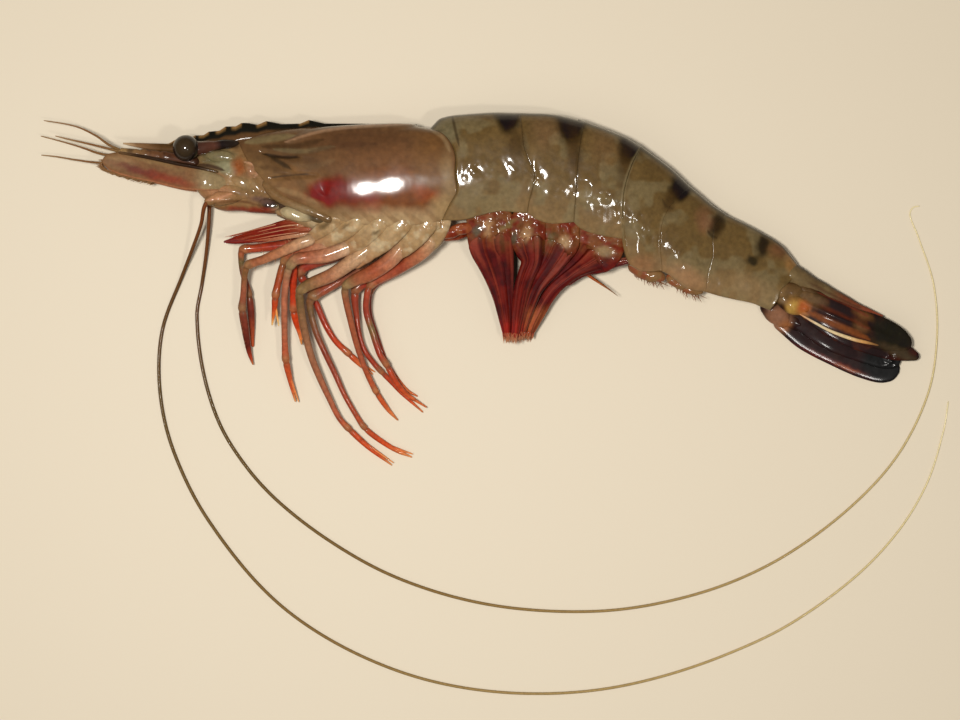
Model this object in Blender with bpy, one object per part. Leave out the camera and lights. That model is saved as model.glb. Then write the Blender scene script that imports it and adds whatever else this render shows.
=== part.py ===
# Raw black tiger prawn lying on its right side on a flat surface at z = 0.
# The head points to -X, the back to +Y and the left side up, to +Z.
# All sizes are millimetres. place() turns them into metres about the middle of the whole prawn.

import math

import bmesh
import bpy
from mathutils import Matrix, Vector

MM = 0.001
MIDDLE = Vector((0.46, -0.73, 0.0))  # middle of the outline, long feelers included
GAP = 0.3  # between pieces that touch
BODY_LEVEL = 9.3  # height of the body's middle plane from the eyes to the fourth tail segment
WELD = 0.001  # points closer than this are one

# Half thickness of the body and height of its middle plane at stations along X
BODY_HALF = ((-80, 2.6), (-66, 3.9), (-58, 5.6), (-48, 7.6), (-38, 8.9), (-26, 9.6), (-10, 9.7),
             (10, 9.6), (25, 9.3), (36, 8.6), (46, 7.6), (56, 6.3), (66, 5.2), (75, 4.3), (80, 3.4),
             (102, 0.6))
BODY_MID = ((-80, BODY_LEVEL), (28, BODY_LEVEL), (40, 8.5), (50, 7.3), (60, 6.1), (75, 4.5), (102, 3.5))

# Carapace: its edges seen from the side, front to rear and belly to back
CARAPACE_BACK = ((-66.5, 68.0), (-60.8, 70.0), (-55.6, 70.9), (-47.8, 71.6), (-33.8, 72.2), (-24.4, 72.4),
                 (-16.5, 71.2))
CARAPACE_BELLY = ((-46.8, 50.3), (-39.0, 48.1), (-32.0, 47.1), (-24.4, 46.9), (-13.5, 47.1))
CARAPACE_FRONT = ((-46.8, 50.3), (-53.0, 52.4), (-57.2, 55.0), (-60.3, 58.4), (-63.6, 62.4), (-66.5, 68.0))
CARAPACE_REAR = ((-13.5, 47.1), (-11.6, 51.0), (-9.7, 54.5), (-10.1, 59.0), (-10.0, 63.2), (-11.0, 66.6),
                 (-13.2, 69.4), (-16.5, 71.2))

# Rostrum: a toothed blade that runs back over the carapace as its crest
CREST_TOP = ((-96.4, 67.7), (-84.8, 67.4), (-77.0, 68.8), (-69.8, 71.0), (-64.0, 72.3), (-48.0, 72.7),
             (-33.8, 72.6), (-20.0, 72.4))
CREST_LOW = ((-96.4, 67.3), (-90.5, 65.9), (-84.0, 65.0), (-76.0, 65.2), (-66.0, 66.6), (-55.0, 68.5),
             (-20.0, 70.0))
CREST_HALF = ((-96.4, 0.25), (-84.0, 1.1), (-70.0, 1.5), (-50.0, 1.3), (-20.0, 0.7))
TOOTH_TIPS = (-82.4, -77.7, -74.2, -69.8, -65.7, -59.2, -48.2)
TOOTH_HEIGHT = 0.9
TOOTH_RAMP = 2.2  # the steep front of a tooth
TOOTH_TAIL = 4.0  # its long rear slope

# Head in front of the carapace, and the underside that carries the legs
HEAD_BACK = ((-78.5, 62.2), (-73.0, 63.9), (-66.8, 65.4))
HEAD_BELLY = ((-78.5, 57.5), (-75.8, 53.8), (-71.5, 50.2), (-64.7, 49.8), (-57.0, 49.1))
HEAD_FRONT = ((-78.5, 57.5), (-79.3, 60.0), (-78.5, 62.2))
HEAD_REAR = ((-57.0, 49.1), (-57.2, 52.0), (-58.0, 54.6), (-61.0, 58.2), (-64.2, 62.1), (-66.8, 65.4))
BREAST_BACK = ((-56.4, 53.4), (-52.8, 51.9), (-46.8, 49.9), (-39.0, 47.7), (-32.0, 46.7), (-24.4, 46.5),
               (-13.9, 46.7))
BREAST_BELLY = ((-56.4, 48.6), (-47.6, 44.9), (-39.3, 42.2), (-32.0, 41.2), (-24.4, 41.0), (-17.5, 42.6),
                (-13.4, 44.4))
BREAST_FRONT = ((-56.4, 48.6), (-56.8, 51.0), (-56.4, 53.4))
BREAST_REAR = ((-13.4, 44.4), (-13.6, 45.6), (-13.9, 46.7))
BREAST_SHARE = 0.84  # of the body's half thickness, so the carapace hangs over it

# Hip lobes of the last maxilliped and the five walking legs: ends on the left side, (x, y)
HIP_RADIUS = 1.75
HIPS = (((-38.2, 46.0), (-49.6, 41.0)), ((-32.5, 45.6), (-44.4, 41.1)), ((-27.8, 45.2), (-37.4, 40.4)),
        ((-22.1, 45.4), (-32.2, 40.3)), ((-17.4, 45.0), (-24.6, 40.0)), ((-13.0, 45.2), (-16.4, 41.6)))
HIP_RISE = (5.2, 3.2)  # of a lobe's upper and lower end from the body's middle plane
CHEEK = ((-53.8, 49.2), (-45.4, 48.0))  # the pale lobe behind the mouth
BREAST_END = ((-14.0, 44.0), (-7.0, 44.9))  # red lump behind the last legs

# Tail segments: edges between them from belly to back, then each one's belly and back
EDGE_0 = ((-13.1, 47.1), (-11.2, 51.0), (-9.3, 54.5), (-9.7, 59.0), (-9.6, 63.2), (-10.6, 66.8),
          (-12.8, 69.7), (-16.1, 71.8))
EDGE_1 = ((8.6, 49.1), (8.9, 51.5), (10.0, 55.9), (10.3, 59.3), (8.8, 62.7), (7.6, 66.2), (7.2, 70.2),
          (6.5, 75.4))
EDGE_2 = ((20.5, 46.8), (21.0, 54.0), (21.5, 62.0), (22.4, 68.5), (23.4, 73.2))
EDGE_3 = ((33.3, 42.4), (33.0, 49.0), (33.4, 55.0), (35.4, 61.5), (38.2, 66.8))
FLAP_4 = ((35.8, 35.4), (34.4, 39.4), (33.7, 43.6), (33.3, 49.0), (33.7, 55.0), (35.6, 61.5), (38.2, 66.8))
EDGE_4 = ((43.4, 34.2), (42.9, 40.0), (43.2, 46.0), (45.2, 50.6), (48.3, 54.0), (51.3, 56.2))
EDGE_5 = ((54.9, 28.9), (55.3, 33.0), (56.6, 38.5), (56.6, 43.0), (57.6, 46.8), (60.5, 49.3))
EDGE_6 = ((71.8, 24.2), (73.4, 27.5), (75.5, 31.0), (77.2, 33.6), (79.6, 35.8))
SEGMENTS = (
    (EDGE_0, EDGE_1, ((-16.1, 71.8), (-14.3, 73.7), (-11.8, 74.5), (-7.0, 75.0), (-1.0, 75.5), (6.5, 75.4)),
     ((-13.1, 47.1), (-7.8, 47.4), (-3.9, 48.4), (2.0, 49.5), (8.6, 49.1))),
    (EDGE_1, EDGE_2, ((6.5, 75.4), (12.0, 75.2), (17.2, 74.6), (23.4, 73.2)),
     ((8.6, 49.1), (11.0, 47.4), (15.0, 46.4), (20.5, 46.8))),
    (EDGE_2, EDGE_3, ((23.4, 73.2), (29.9, 70.9), (34.5, 69.0), (38.2, 66.8)),
     ((20.5, 46.8), (22.5, 45.0), (27.0, 43.5), (33.3, 42.4))),
    (FLAP_4, EDGE_4, ((38.2, 66.8), (43.4, 63.0), (47.5, 59.8), (51.3, 56.2)),
     ((35.8, 35.4), (38.0, 34.2), (40.6, 33.9), (43.4, 34.2))),
    (EDGE_4, EDGE_5, ((51.3, 56.2), (54.4, 53.8), (57.5, 51.4), (60.5, 49.3)),
     ((43.4, 34.2), (45.5, 33.2), (50.0, 29.6), (54.9, 28.9))),
    (EDGE_5, EDGE_6, ((60.5, 49.3), (64.6, 47.4), (69.5, 45.0), (74.9, 41.6), (77.5, 38.6), (79.6, 35.8)),
     ((54.9, 28.9), (61.6, 27.0), (67.5, 25.8), (71.8, 24.2))),
)
SEGMENT_TUCK = 0.94  # share of the half thickness at a segment's front, under the one before

# Telson: the tapering middle piece of the tail fan
TELSON_BACK = ((80.2, 35.6), (86.6, 31.5), (95.9, 25.9), (101.9, 22.9))
TELSON_BELLY = ((76.2, 30.9), (80.5, 29.9), (86.0, 27.9), (94.0, 24.9), (101.7, 22.4))
TELSON_FRONT = ((76.2, 30.9), (77.9, 33.6), (80.2, 35.6))
TELSON_REAR = ((101.7, 22.4), (101.9, 22.9))

# Flat limbs as centre lines of (x, y, height of the middle, half width)
SCALE = ((-101.6, 62.6, 10.9, 0.8), (-99.8, 62.7, 11.0, 2.1), (-96.0, 62.1, 11.3, 3.0),
         (-87.0, 60.1, 12.2, 3.1), (-80.0, 58.6, 13.0, 3.2), (-73.4, 57.4, 14.3, 2.5))
SCALE_HALF = (0.4, 0.6)
FEELER_BASE = ((-69.4, 52.6, 14.7, 1.9), (-72.2, 52.2, 14.3, 1.9), (-74.9, 52.0, 13.6, 1.1))
UROPODS = (
    ("uropod_left_outer", (0.9, 0.5), ((80.0, 26.4, 6.9, 2.6), (86.0, 23.8, 7.3, 3.5), (93.0, 20.8, 6.9, 3.6),
                                       (100.2, 18.3, 6.0, 3.8), (105.4, 16.6, 5.1, 2.8), (109.1, 14.8, 4.4, 1.0))),
    ("uropod_left_inner", (0.6, 0.5), ((82.6, 23.8, 5.2, 2.2), (90.0, 20.0, 5.0, 3.3), (98.0, 16.8, 4.3, 3.4),
                                       (105.0, 14.1, 3.4, 2.6), (109.4, 12.6, 2.9, 1.4), (111.4, 11.8, 2.7, 0.5))),
    ("uropod_right_inner", (0.6, 0.5), ((79.6, 22.0, 3.0, 2.0), (88.0, 17.6, 2.9, 3.2), (96.0, 14.6, 2.3, 3.3),
                                        (103.0, 11.8, 1.9, 2.6), (106.6, 10.4, 1.8, 1.1))),
    ("uropod_right_outer", (0.7, 0.5), ((75.6, 21.8, 1.6, 2.4), (82.0, 18.2, 1.1, 3.8), (90.0, 14.3, 0.7, 4.1),
                                        (98.0, 10.9, 0.7, 4.2), (103.6, 8.8, 0.7, 3.3), (106.6, 8.5, 0.7, 1.8))),
)
TAIL_KNUCKLES = (("uropod_left_outer", (78.0, 26.9, 6.4), (3.5, 2.9, 2.1)),
                 ("uropod_right_outer", (75.6, 22.9, 1.9), (2.6, 2.8, 1.7)))

# Swimmerets of the left side as centre lines of (x, y, z, half width); the right ones lie under them
PLEOPOD_HALF = (1.2, 0.45)  # half thickness at root and tip
PLEOPODS = (
    ((-1.0, 46.8, 12.8, 5.4), (-0.8, 42.0, 12.0, 5.2), (1.0, 35.0, 9.8, 3.7), (2.4, 28.0, 7.8, 2.4),
     (3.4, 21.0, 6.2, 1.6), (3.6, 15.8, 5.2, 0.6)),
    ((8.9, 46.3, 13.2, 4.0), (8.9, 42.0, 12.8, 3.9), (9.8, 37.0, 11.6, 2.4), (7.8, 31.6, 10.4, 1.9),
     (6.6, 25.5, 9.0, 1.6), (5.4, 15.6, 7.2, 0.6)),
    ((17.4, 44.4, 12.6, 4.0), (17.4, 42.0, 12.2, 4.0), (14.6, 36.4, 10.8, 2.9), (10.8, 30.5, 9.2, 2.1),
     (8.4, 24.0, 7.6, 1.7), (6.9, 16.2, 5.6, 0.6)),
    ((27.4, 42.2, 11.8, 5.2), (26.6, 39.4, 11.2, 4.6), (21.6, 35.4, 8.8, 2.3), (15.0, 29.8, 7.0, 2.0),
     (11.0, 23.4, 5.4, 2.0), (8.4, 16.0, 4.0, 0.7)),
    ((33.6, 36.8, 9.4, 0.9), (28.4, 35.6, 8.9, 1.2), (24.0, 34.2, 7.8, 1.0), (20.6, 32.9, 6.8, 0.4)),
)
PLEOPOD_SPREAD = ((16.0, 3.6), (40.0, 6.6))  # how far the right ones lie below the left ones, by y

# Eyes on short stalks
EYE = (-79.6, 65.9, 14.4)
EYE_RADIUS = 3.4
STALK = ((-77.6, 65.6, 14.2, 1.5), (-75.2, 65.3, 13.6, 1.5), (-72.8, 65.0, 13.2, 1.2))

# Round limbs as (x, y, z, radius); the antennules' short whips start from their stems
ANTENNULE_STEM = ((-80.4, 62.7, 10.6, 0.85), (-88.0, 63.9, 10.5, 0.85), (-97.4, 65.4, 10.4, 0.75))
WHIPS_LEFT = (
    ((-96.8, 65.5, 10.4, 0.4), (-100.1, 67.1, 10.0, 0.33), (-103.5, 69.5, 9.2, 0.27),
     (-109.2, 72.1, 7.6, 0.2), (-117.7, 73.8, 5.2, 0.13)),
    ((-96.8, 65.2, 10.6, 0.4), (-101.6, 66.4, 10.6, 0.3), (-106.4, 67.6, 9.6, 0.25),
     (-111.0, 68.7, 8.4, 0.2), (-114.4, 69.6, 7.4, 0.13)),
)
WHIPS_RIGHT = (
    ((-96.8, 65.1, 8.5, 0.4), (-100.4, 64.5, 9.2, 0.35), (-103.7, 65.2, 8.7, 0.3), (-106.4, 66.2, 7.8, 0.25),
     (-111.0, 67.7, 6.0, 0.2), (-118.8, 69.9, 3.2, 0.13)),
    ((-96.8, 64.9, 8.4, 0.4), (-99.0, 63.5, 9.2, 0.35), (-102.0, 62.5, 9.2, 0.3), (-109.2, 63.4, 6.6, 0.23),
     (-114.7, 64.4, 4.6, 0.18), (-118.7, 64.9, 3.2, 0.13)),
)
FEELER_LEFT = (
    (-74.3, 52.0, 13.7, 0.62), (-75.1, 50.4, 12.8, 0.55), (-76.1, 46.4, 10.0, 0.5), (-78.7, 40.4, 5.6, 0.48),
    (-81.9, 33.2, 1.6, 0.47), (-87.0, 19.9, 0.46, 0.46), (-88.1, 7.2, 0.46, 0.46), (-86.3, -6.2, 0.45, 0.45),
    (-81.8, -18.8, 0.44, 0.44), (-75.5, -30.4, 0.43, 0.43), (-64.4, -45.1, 0.42, 0.42),
    (-53.6, -55.4, 0.41, 0.41), (-39.7, -64.3, 0.4, 0.4), (-23.6, -71.2, 0.39, 0.39),
    (-7.6, -75.1, 0.38, 0.38), (9.8, -76.6, 0.37, 0.37), (27.4, -75.6, 0.36, 0.36), (44.5, -72.0, 0.35, 0.35),
    (61.9, -66.0, 0.33, 0.33), (77.9, -58.3, 0.31, 0.31), (94.8, -46.1, 0.28, 0.28),
    (106.3, -34.0, 0.25, 0.25), (114.0, -21.2, 0.22, 0.22), (118.4, -7.2, 0.19, 0.19),
    (119.6, 0.3, 0.16, 0.16),
)
FEELER_RIGHT = (
    (-74.5, 52.1, 5.0, 0.62), (-74.4, 50.6, 5.3, 0.55), (-74.7, 45.9, 4.2, 0.5), (-75.5, 39.3, 2.0, 0.48),
    (-76.8, 31.0, 0.5, 0.47), (-78.1, 22.8, 0.46, 0.46), (-76.5, 8.3, 0.46, 0.46), (-72.1, -5.7, 0.45, 0.45),
    (-64.9, -17.2, 0.44, 0.44), (-56.0, -26.7, 0.43, 0.43), (-42.8, -36.7, 0.42, 0.42),
    (-27.8, -45.1, 0.41, 0.41), (-10.7, -51.1, 0.4, 0.4), (6.9, -54.3, 0.39, 0.39), (27.4, -54.9, 0.38, 0.38),
    (44.5, -52.6, 0.37, 0.37), (61.9, -47.5, 0.35, 0.35), (77.9, -39.5, 0.33, 0.33),
    (94.2, -27.2, 0.31, 0.31), (106.3, -13.8, 0.29, 0.29), (114.2, 2.2, 0.26, 0.26),
    (116.6, 17.0, 0.24, 0.24), (115.7, 31.2, 0.21, 0.21), (111.6, 43.8, 0.18, 0.18),
    (109.5, 49.3, 0.17, 0.17), (110.3, 51.3, 0.16, 0.16), (112.1, 51.7, 0.15, 0.15),
)
MAXILLIPED_LEFT = ((-46.4, 42.8, 12.9, 1.3), (-51.0, 41.0, 12.8, 1.2), (-59.7, 37.3, 11.0, 0.95),
                   (-64.0, 35.7, 9.8, 0.9), (-64.8, 33.6, 9.0, 0.85), (-65.3, 28.3, 7.6, 0.85),
                   (-65.7, 24.6, 6.6, 1.0), (-65.2, 20.6, 5.4, 1.05), (-64.2, 13.6, 3.2, 0.7),
                   (-63.2, 9.9, 2.2, 0.2))
MAXILLIPED_RIGHT = ((-46.4, 42.8, 5.8, 1.3), (-52.0, 41.6, 5.6, 1.2), (-62.2, 40.4, 5.4, 0.9),
                    (-65.6, 40.0, 5.2, 0.9), (-66.1, 38.4, 5.0, 0.85), (-65.8, 34.6, 4.4, 0.8),
                    (-64.2, 28.3, 3.4, 0.9), (-63.7, 23.1, 2.4, 1.0), (-63.4, 14.6, 1.0, 0.4))
PALP = ((-47.0, 45.0, 9.3, 1.6), (-53.0, 45.2, 9.3, 2.6), (-60.0, 43.8, 8.8, 1.9), (-67.0, 42.4, 8.2, 1.0),
        (-70.4, 41.9, 8.0, 0.3))
PALP_HALF = (0.9, 0.3)

# Walking legs from hip to tip; a pincer's second finger is given by its tip
LEGS = (
    ("leg_1_left", ((-42.6, 41.8, 12.5, 1.5), (-48.0, 40.0, 10.9, 1.2), (-50.8, 39.2, 10.0, 1.15),
                    (-53.6, 38.2, 9.4, 1.1), (-54.7, 36.6, 9.0, 1.0), (-55.6, 33.5, 8.6, 1.0),
                    (-56.3, 30.9, 8.4, 0.95), (-56.9, 27.9, 8.0, 1.0), (-57.2, 25.0, 7.5, 0.75),
                    (-57.9, 20.2, 6.5, 0.2)), (-56.1, 20.0, 6.5)),
    ("leg_1_right", ((-42.6, 41.4, 5.6, 1.5), (-50.2, 38.8, 6.6, 1.2), (-52.2, 36.7, 6.9, 1.0),
                     (-52.5, 33.5, 6.4, 1.0), (-52.5, 28.3, 5.4, 0.9), (-52.4, 24.4, 4.6, 1.0),
                     (-51.8, 21.4, 4.0, 0.95), (-51.0, 18.5, 3.4, 0.6), (-50.4, 15.2, 2.8, 0.2)),
     (-49.2, 15.0, 2.9)),
    ("leg_2_left", ((-35.6, 41.3, 12.6, 1.6), (-43.4, 38.3, 12.4, 1.6), (-48.1, 37.7, 12.2, 1.35),
                    (-51.4, 37.2, 12.1, 1.2), (-52.9, 35.4, 11.6, 1.1), (-53.8, 32.6, 10.8, 0.95),
                    (-54.4, 28.3, 9.5, 0.9), (-54.6, 23.1, 8.0, 0.85), (-54.6, 15.5, 6.0, 0.85),
                    (-54.4, 11.2, 4.9, 0.95), (-53.5, 6.4, 3.4, 0.75), (-52.1, 0.2, 2.0, 0.2)),
     (-51.2, 0.1, 2.1)),
    ("leg_2_right", ((-35.6, 40.6, 5.6, 1.5), (-42.6, 38.2, 5.2, 1.4), (-49.8, 35.4, 4.6, 1.1),
                     (-50.6, 33.6, 4.3, 1.0), (-49.2, 30.9, 4.0, 0.95), (-46.8, 26.5, 3.4, 0.85),
                     (-44.2, 20.5, 2.4, 0.85), (-41.6, 16.2, 1.6, 0.8), (-38.2, 12.9, 1.2, 0.85),
                     (-34.8, 9.8, 1.0, 0.7), (-31.8, 7.4, 0.8, 0.2)), (-31.2, 8.0, 0.8)),
    ("leg_3_left", ((-30.4, 41.4, 12.7, 1.7), (-36.1, 37.2, 12.4, 1.6), (-42.0, 33.3, 11.6, 1.45),
                    (-48.0, 30.7, 10.9, 1.25), (-50.3, 29.0, 10.5, 1.2), (-50.4, 26.4, 9.9, 1.1),
                    (-49.4, 19.2, 8.5, 1.05), (-47.6, 12.0, 7.0, 0.95), (-45.5, 6.5, 5.6, 0.9),
                    (-43.3, 1.6, 4.6, 0.8), (-40.6, -3.9, 3.6, 0.75), (-38.1, -6.8, 3.0, 0.8),
                    (-32.9, -11.7, 1.8, 0.7), (-26.8, -16.5, 0.8, 0.2)), (-26.3, -15.9, 0.9)),
    ("leg_3_right", ((-30.4, 41.0, 5.4, 1.6), (-37.4, 34.1, 5.6, 1.3), (-44.7, 29.4, 6.5, 1.15),
                     (-47.4, 27.6, 6.6, 1.1), (-48.1, 25.5, 6.4, 0.95), (-46.7, 19.0, 5.5, 0.85),
                     (-44.4, 13.5, 4.6, 0.8), (-41.6, 7.5, 3.8, 0.75), (-39.2, 2.1, 3.0, 0.7),
                     (-36.1, -3.4, 2.2, 0.7), (-34.0, -6.5, 1.9, 0.75), (-30.9, -9.2, 1.5, 0.75),
                     (-25.6, -12.6, 0.9, 0.6), (-21.5, -14.4, 0.5, 0.2)), (-21.2, -13.6, 0.6)),
    ("leg_4_left", ((-23.2, 41.6, 12.8, 1.7), (-26.5, 37.4, 12.4, 1.65), (-32.1, 33.6, 11.6, 1.6),
                    (-36.1, 31.9, 10.8, 1.3), (-38.5, 30.2, 10.0, 1.1), (-38.7, 28.0, 9.3, 0.95),
                    (-37.2, 20.8, 7.5, 0.85), (-35.8, 15.1, 5.8, 0.8), (-33.6, 8.6, 4.4, 0.75),
                    (-30.9, 2.9, 2.8, 0.75), (-27.8, -1.8, 1.6, 0.6), (-25.2, -4.7, 0.8, 0.2)), None),
    ("leg_4_right", ((-22.8, 41.2, 5.4, 1.6), (-28.3, 35.1, 5.6, 1.3), (-34.0, 31.3, 5.6, 1.1),
                     (-36.2, 29.2, 5.4, 0.95), (-35.9, 22.2, 4.6, 0.8), (-35.0, 16.6, 4.0, 0.75),
                     (-33.6, 13.2, 3.5, 0.7), (-30.9, 9.6, 2.9, 0.7), (-29.5, 8.1, 2.5, 0.7),
                     (-26.8, 5.3, 1.7, 0.65), (-24.1, 2.4, 1.1, 0.55), (-18.6, -2.6, 0.5, 0.2)), None),
    ("leg_5_left", ((-15.4, 43.4, 12.8, 1.6), (-18.2, 39.4, 11.6, 1.45), (-25.1, 34.8, 9.4, 1.2),
                    (-30.5, 32.0, 8.2, 1.0), (-32.3, 30.4, 8.0, 0.95), (-33.0, 28.4, 7.8, 0.9),
                    (-33.3, 23.9, 7.0, 0.85), (-31.7, 18.4, 6.2, 0.85), (-29.8, 12.6, 5.4, 0.8),
                    (-28.1, 9.9, 5.0, 0.8), (-25.7, 5.5, 4.2, 0.75), (-23.5, 2.7, 3.4, 0.65),
                    (-17.6, -1.3, 2.0, 0.2)), None),
    ("leg_5_right", ((-15.4, 43.0, 5.6, 1.5), (-20.5, 38.0, 5.0, 1.2), (-25.7, 34.4, 4.2, 1.1),
                     (-30.8, 31.6, 3.6, 1.0), (-32.5, 29.0, 3.3, 0.9), (-32.8, 23.9, 2.8, 0.8),
                     (-31.2, 18.4, 2.0, 0.75), (-29.2, 12.6, 1.1, 0.7), (-28.0, 10.0, 0.8, 0.65),
                     (-25.0, 5.6, 0.7, 0.6), (-22.8, 3.2, 0.6, 0.5), (-20.0, 1.6, 0.4, 0.2)), None),
)

# Colours as linear RGB, with roughness
COLOURS = {
    "shell": ((0.150, 0.108, 0.058), 0.25), "carapace": ((0.200, 0.090, 0.040), 0.25),
    "tail_fan": ((0.020, 0.010, 0.007), 0.25), "flesh": ((0.520, 0.380, 0.260), 0.35),
    "leg": ((0.330, 0.110, 0.060), 0.35), "swimmeret": ((0.160, 0.022, 0.016), 0.3),
    "feeler": ((0.160, 0.090, 0.045), 0.4), "eye": ((0.045, 0.032, 0.025), 0.12),
    "scale": ((0.400, 0.180, 0.090), 0.3),
}


def place(x, y, z):
    """The point in metres in the part's frame. Nothing reaches below the surface it lies on."""
    return (Vector((x, y, max(z, 0.0))) - MIDDLE) * MM


def ease(t):
    t = min(max(t, 0.0), 1.0)
    return t * t * (3 - 2 * t)


def along(stations, x):
    """Value at x between (x, value) stations."""
    for (x0, a), (x1, b) in zip(stations, stations[1:]):
        if x <= x1:
            return a + (b - a) * min(max((x - x0) / (x1 - x0), 0.0), 1.0)
    return stations[-1][1]


def spline(points, t):
    """Point at t, 0 to 1 by length, on a smooth curve through the points."""
    nodes = [Vector(p) for p in points]
    spans = [(b - a).length for a, b in zip(nodes, nodes[1:])]
    run = t * sum(spans)
    i = 0
    while i < len(spans) - 1 and run > spans[i]:
        run -= spans[i]
        i += 1
    first, last = max(i - 1, 0), min(i + 2, len(nodes) - 1)
    start = (nodes[i + 1] - nodes[first]) / sum(spans[first:i + 1]) * spans[i]
    end = (nodes[last] - nodes[i]) / sum(spans[i:last]) * spans[i]
    u = run / spans[i]
    return (nodes[i] * (2 * u ** 3 - 3 * u ** 2 + 1) + start * (u ** 3 - 2 * u ** 2 + u)
            + nodes[i + 1] * (3 * u ** 2 - 2 * u ** 3) + end * (u ** 3 - u ** 2))


def between_edges(edges, s, v):
    """Point of the side view between four meeting edges, s from front to rear and v from belly to back."""
    front, rear, back, belly = edges
    across = spline(belly, s) * (1 - v) + spline(back, s) * v
    lengthwise = spline(front, v) * (1 - s) + spline(rear, v) * s
    corners = ((Vector(front[0]) * (1 - v) + Vector(front[-1]) * v) * (1 - s)
               + (Vector(rear[0]) * (1 - v) + Vector(rear[-1]) * v) * s)
    return across + lengthwise - corners


def arched(v):
    """Share of the half thickness at v: round at the back, a little drawn in at the belly edge."""
    if v > 0.5:
        return max(1 - (2 * v - 1) ** 2.4, 0.0) ** (1 / 2.4)
    return 1 - 0.22 * (1 - 2 * v) ** 2


def keeled(v):
    """Share of the half thickness of the underside: full at the top, round at the belly."""
    return max(1 - (1 - v) ** 2.2, 0.0) ** (1 / 2.2)


def rounded(v):
    """Share of the half thickness of a piece that is round at both edges."""
    return max(1 - abs(2 * v - 1) ** 2.2, 0.0) ** (1 / 2.2)


def new_object(name, bm, colour):
    """Object of the mesh, welded, closed and facing out, in its own material."""
    bmesh.ops.remove_doubles(bm, verts=bm.verts, dist=WELD * MM)
    bmesh.ops.dissolve_degenerate(bm, edges=bm.edges, dist=WELD * MM)
    bmesh.ops.triangulate(bm, faces=bm.faces)
    bmesh.ops.recalc_face_normals(bm, faces=bm.faces)
    mesh = bpy.data.meshes.new(name)
    bm.to_mesh(mesh)
    bm.free()
    return dress(bpy.data.objects.new(name, mesh), colour)


def dress(obj, colour):
    """Links the object to the prawn's collection and gives it its material."""
    rgb, roughness = COLOURS[colour]
    material = bpy.data.materials.get(colour) or bpy.data.materials.new(colour)
    material.use_nodes = True
    shader = material.node_tree.nodes["Principled BSDF"]
    shader.inputs["Base Color"].default_value = (*rgb, 1.0)
    shader.inputs["Roughness"].default_value = roughness
    shader.inputs["Metallic"].default_value = 0.0
    obj.data.materials.clear()
    obj.data.materials.append(material)
    if obj.name not in PRAWN.objects:
        PRAWN.objects.link(obj)
    if obj.type == "MESH":
        obj.data.shade_smooth()
    return obj


def loft(bm, rings):
    """Skin over rings of points in metres, closed at each end by strips from one side to the other."""
    rows = [[bm.verts.new(p) for p in ring] for ring in rings]
    count = len(rows[0])
    for row, following in zip(rows, rows[1:]):
        for i in range(count):
            j = (i + 1) % count
            bm.faces.new((row[i], row[j], following[j], following[i]))
    for row in (rows[0], rows[-1]):
        for i in range(count // 2 - 1):
            bm.faces.new((row[i], row[i + 1], row[-2 - i], row[-1 - i]))
        if count % 2:
            bm.faces.new(row[count // 2 - 1:count // 2 + 2])


def side_rows(count):
    """Values of v from back to belly, closer where the back is round."""
    upper = [0.5 + 0.5 * math.sin(math.pi / 2 * (1 - i / count)) for i in range(count)]
    return upper + [0.5, 0.3, 0.12, 0.0]


def body_piece(name, edges, profile, colour, share=lambda s: 1.0, steps=7, rows=5):
    """Closed piece of the body between four side edges, as thick as the body is there."""
    length = (spline(edges[2], 0.5) - spline(edges[0], 0.5)).length * 2
    first = GAP / max(length, 1.0)
    sides = side_rows(rows)
    bm = bmesh.new()
    rings = []
    for k in range(steps):
        s = first + (1 - first) * k / (steps - 1)
        ring = []
        for side, order in ((1, sides), (-1, reversed(sides))):
            for v in order:
                x, y = between_edges(edges, s, v)
                half = along(BODY_HALF, x) * share(s) * profile(v)
                ring.append(place(x, y, along(BODY_MID, x) + side * half))
        rings.append(ring)
    loft(bm, rings)
    return new_object(name, bm, colour)


def blade(bm, line, halves, steps, sides=8):
    """Flat limb along (x, y, z, half width), in the plane of the side view, as thick as halves says at
    its root and tip."""
    rings = []
    for k in range(steps):
        t = k / (steps - 1)
        x, y, z, width = spline(line, t)
        ahead = spline(line, min(t + 0.02, 1.0)) - spline(line, max(t - 0.02, 0.0))
        across = Vector((-ahead[1], ahead[0])).normalized()
        half = halves[0] + (halves[1] - halves[0]) * t
        ring = []
        for i in range(sides):
            a = 2 * math.pi * (i + 0.5) / sides
            reach = max(width, 0.15) * math.cos(a)
            ring.append(place(x + across[0] * reach, y + across[1] * reach, z + half * math.sin(a)))
        rings.append(ring)
    loft(bm, rings)


def lobe(bm, a, b, radius):
    """Ellipsoid with its long axis from a to b."""
    a, b = Vector(a), Vector(b)
    axis = b - a
    turn = axis.to_track_quat("Z", "Y").to_matrix().to_4x4()
    size = Matrix.Diagonal((radius, radius, axis.length / 2 + radius * 0.6, 1.0))
    middle = (a + b) / 2 - MIDDLE
    bmesh.ops.create_uvsphere(bm, u_segments=8, v_segments=5, radius=1.0,
                              matrix=Matrix.Scale(MM, 4) @ Matrix.Translation(middle) @ turn @ size)


def as_mesh(obj):
    """The object's evaluated form as a plain welded mesh object, in place of the object."""
    bpy.context.view_layer.update()
    mesh = bpy.data.meshes.new_from_object(obj.evaluated_get(bpy.context.evaluated_depsgraph_get()))
    bm = bmesh.new()
    bm.from_mesh(mesh)
    bmesh.ops.remove_doubles(bm, verts=bm.verts, dist=WELD * MM)
    bmesh.ops.recalc_face_normals(bm, faces=bm.faces)
    bm.to_mesh(mesh)
    bm.free()
    name, material = obj.name, obj.data.materials[0].name
    bpy.data.objects.remove(obj)
    return dress(bpy.data.objects.new(name, mesh), material)


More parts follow.
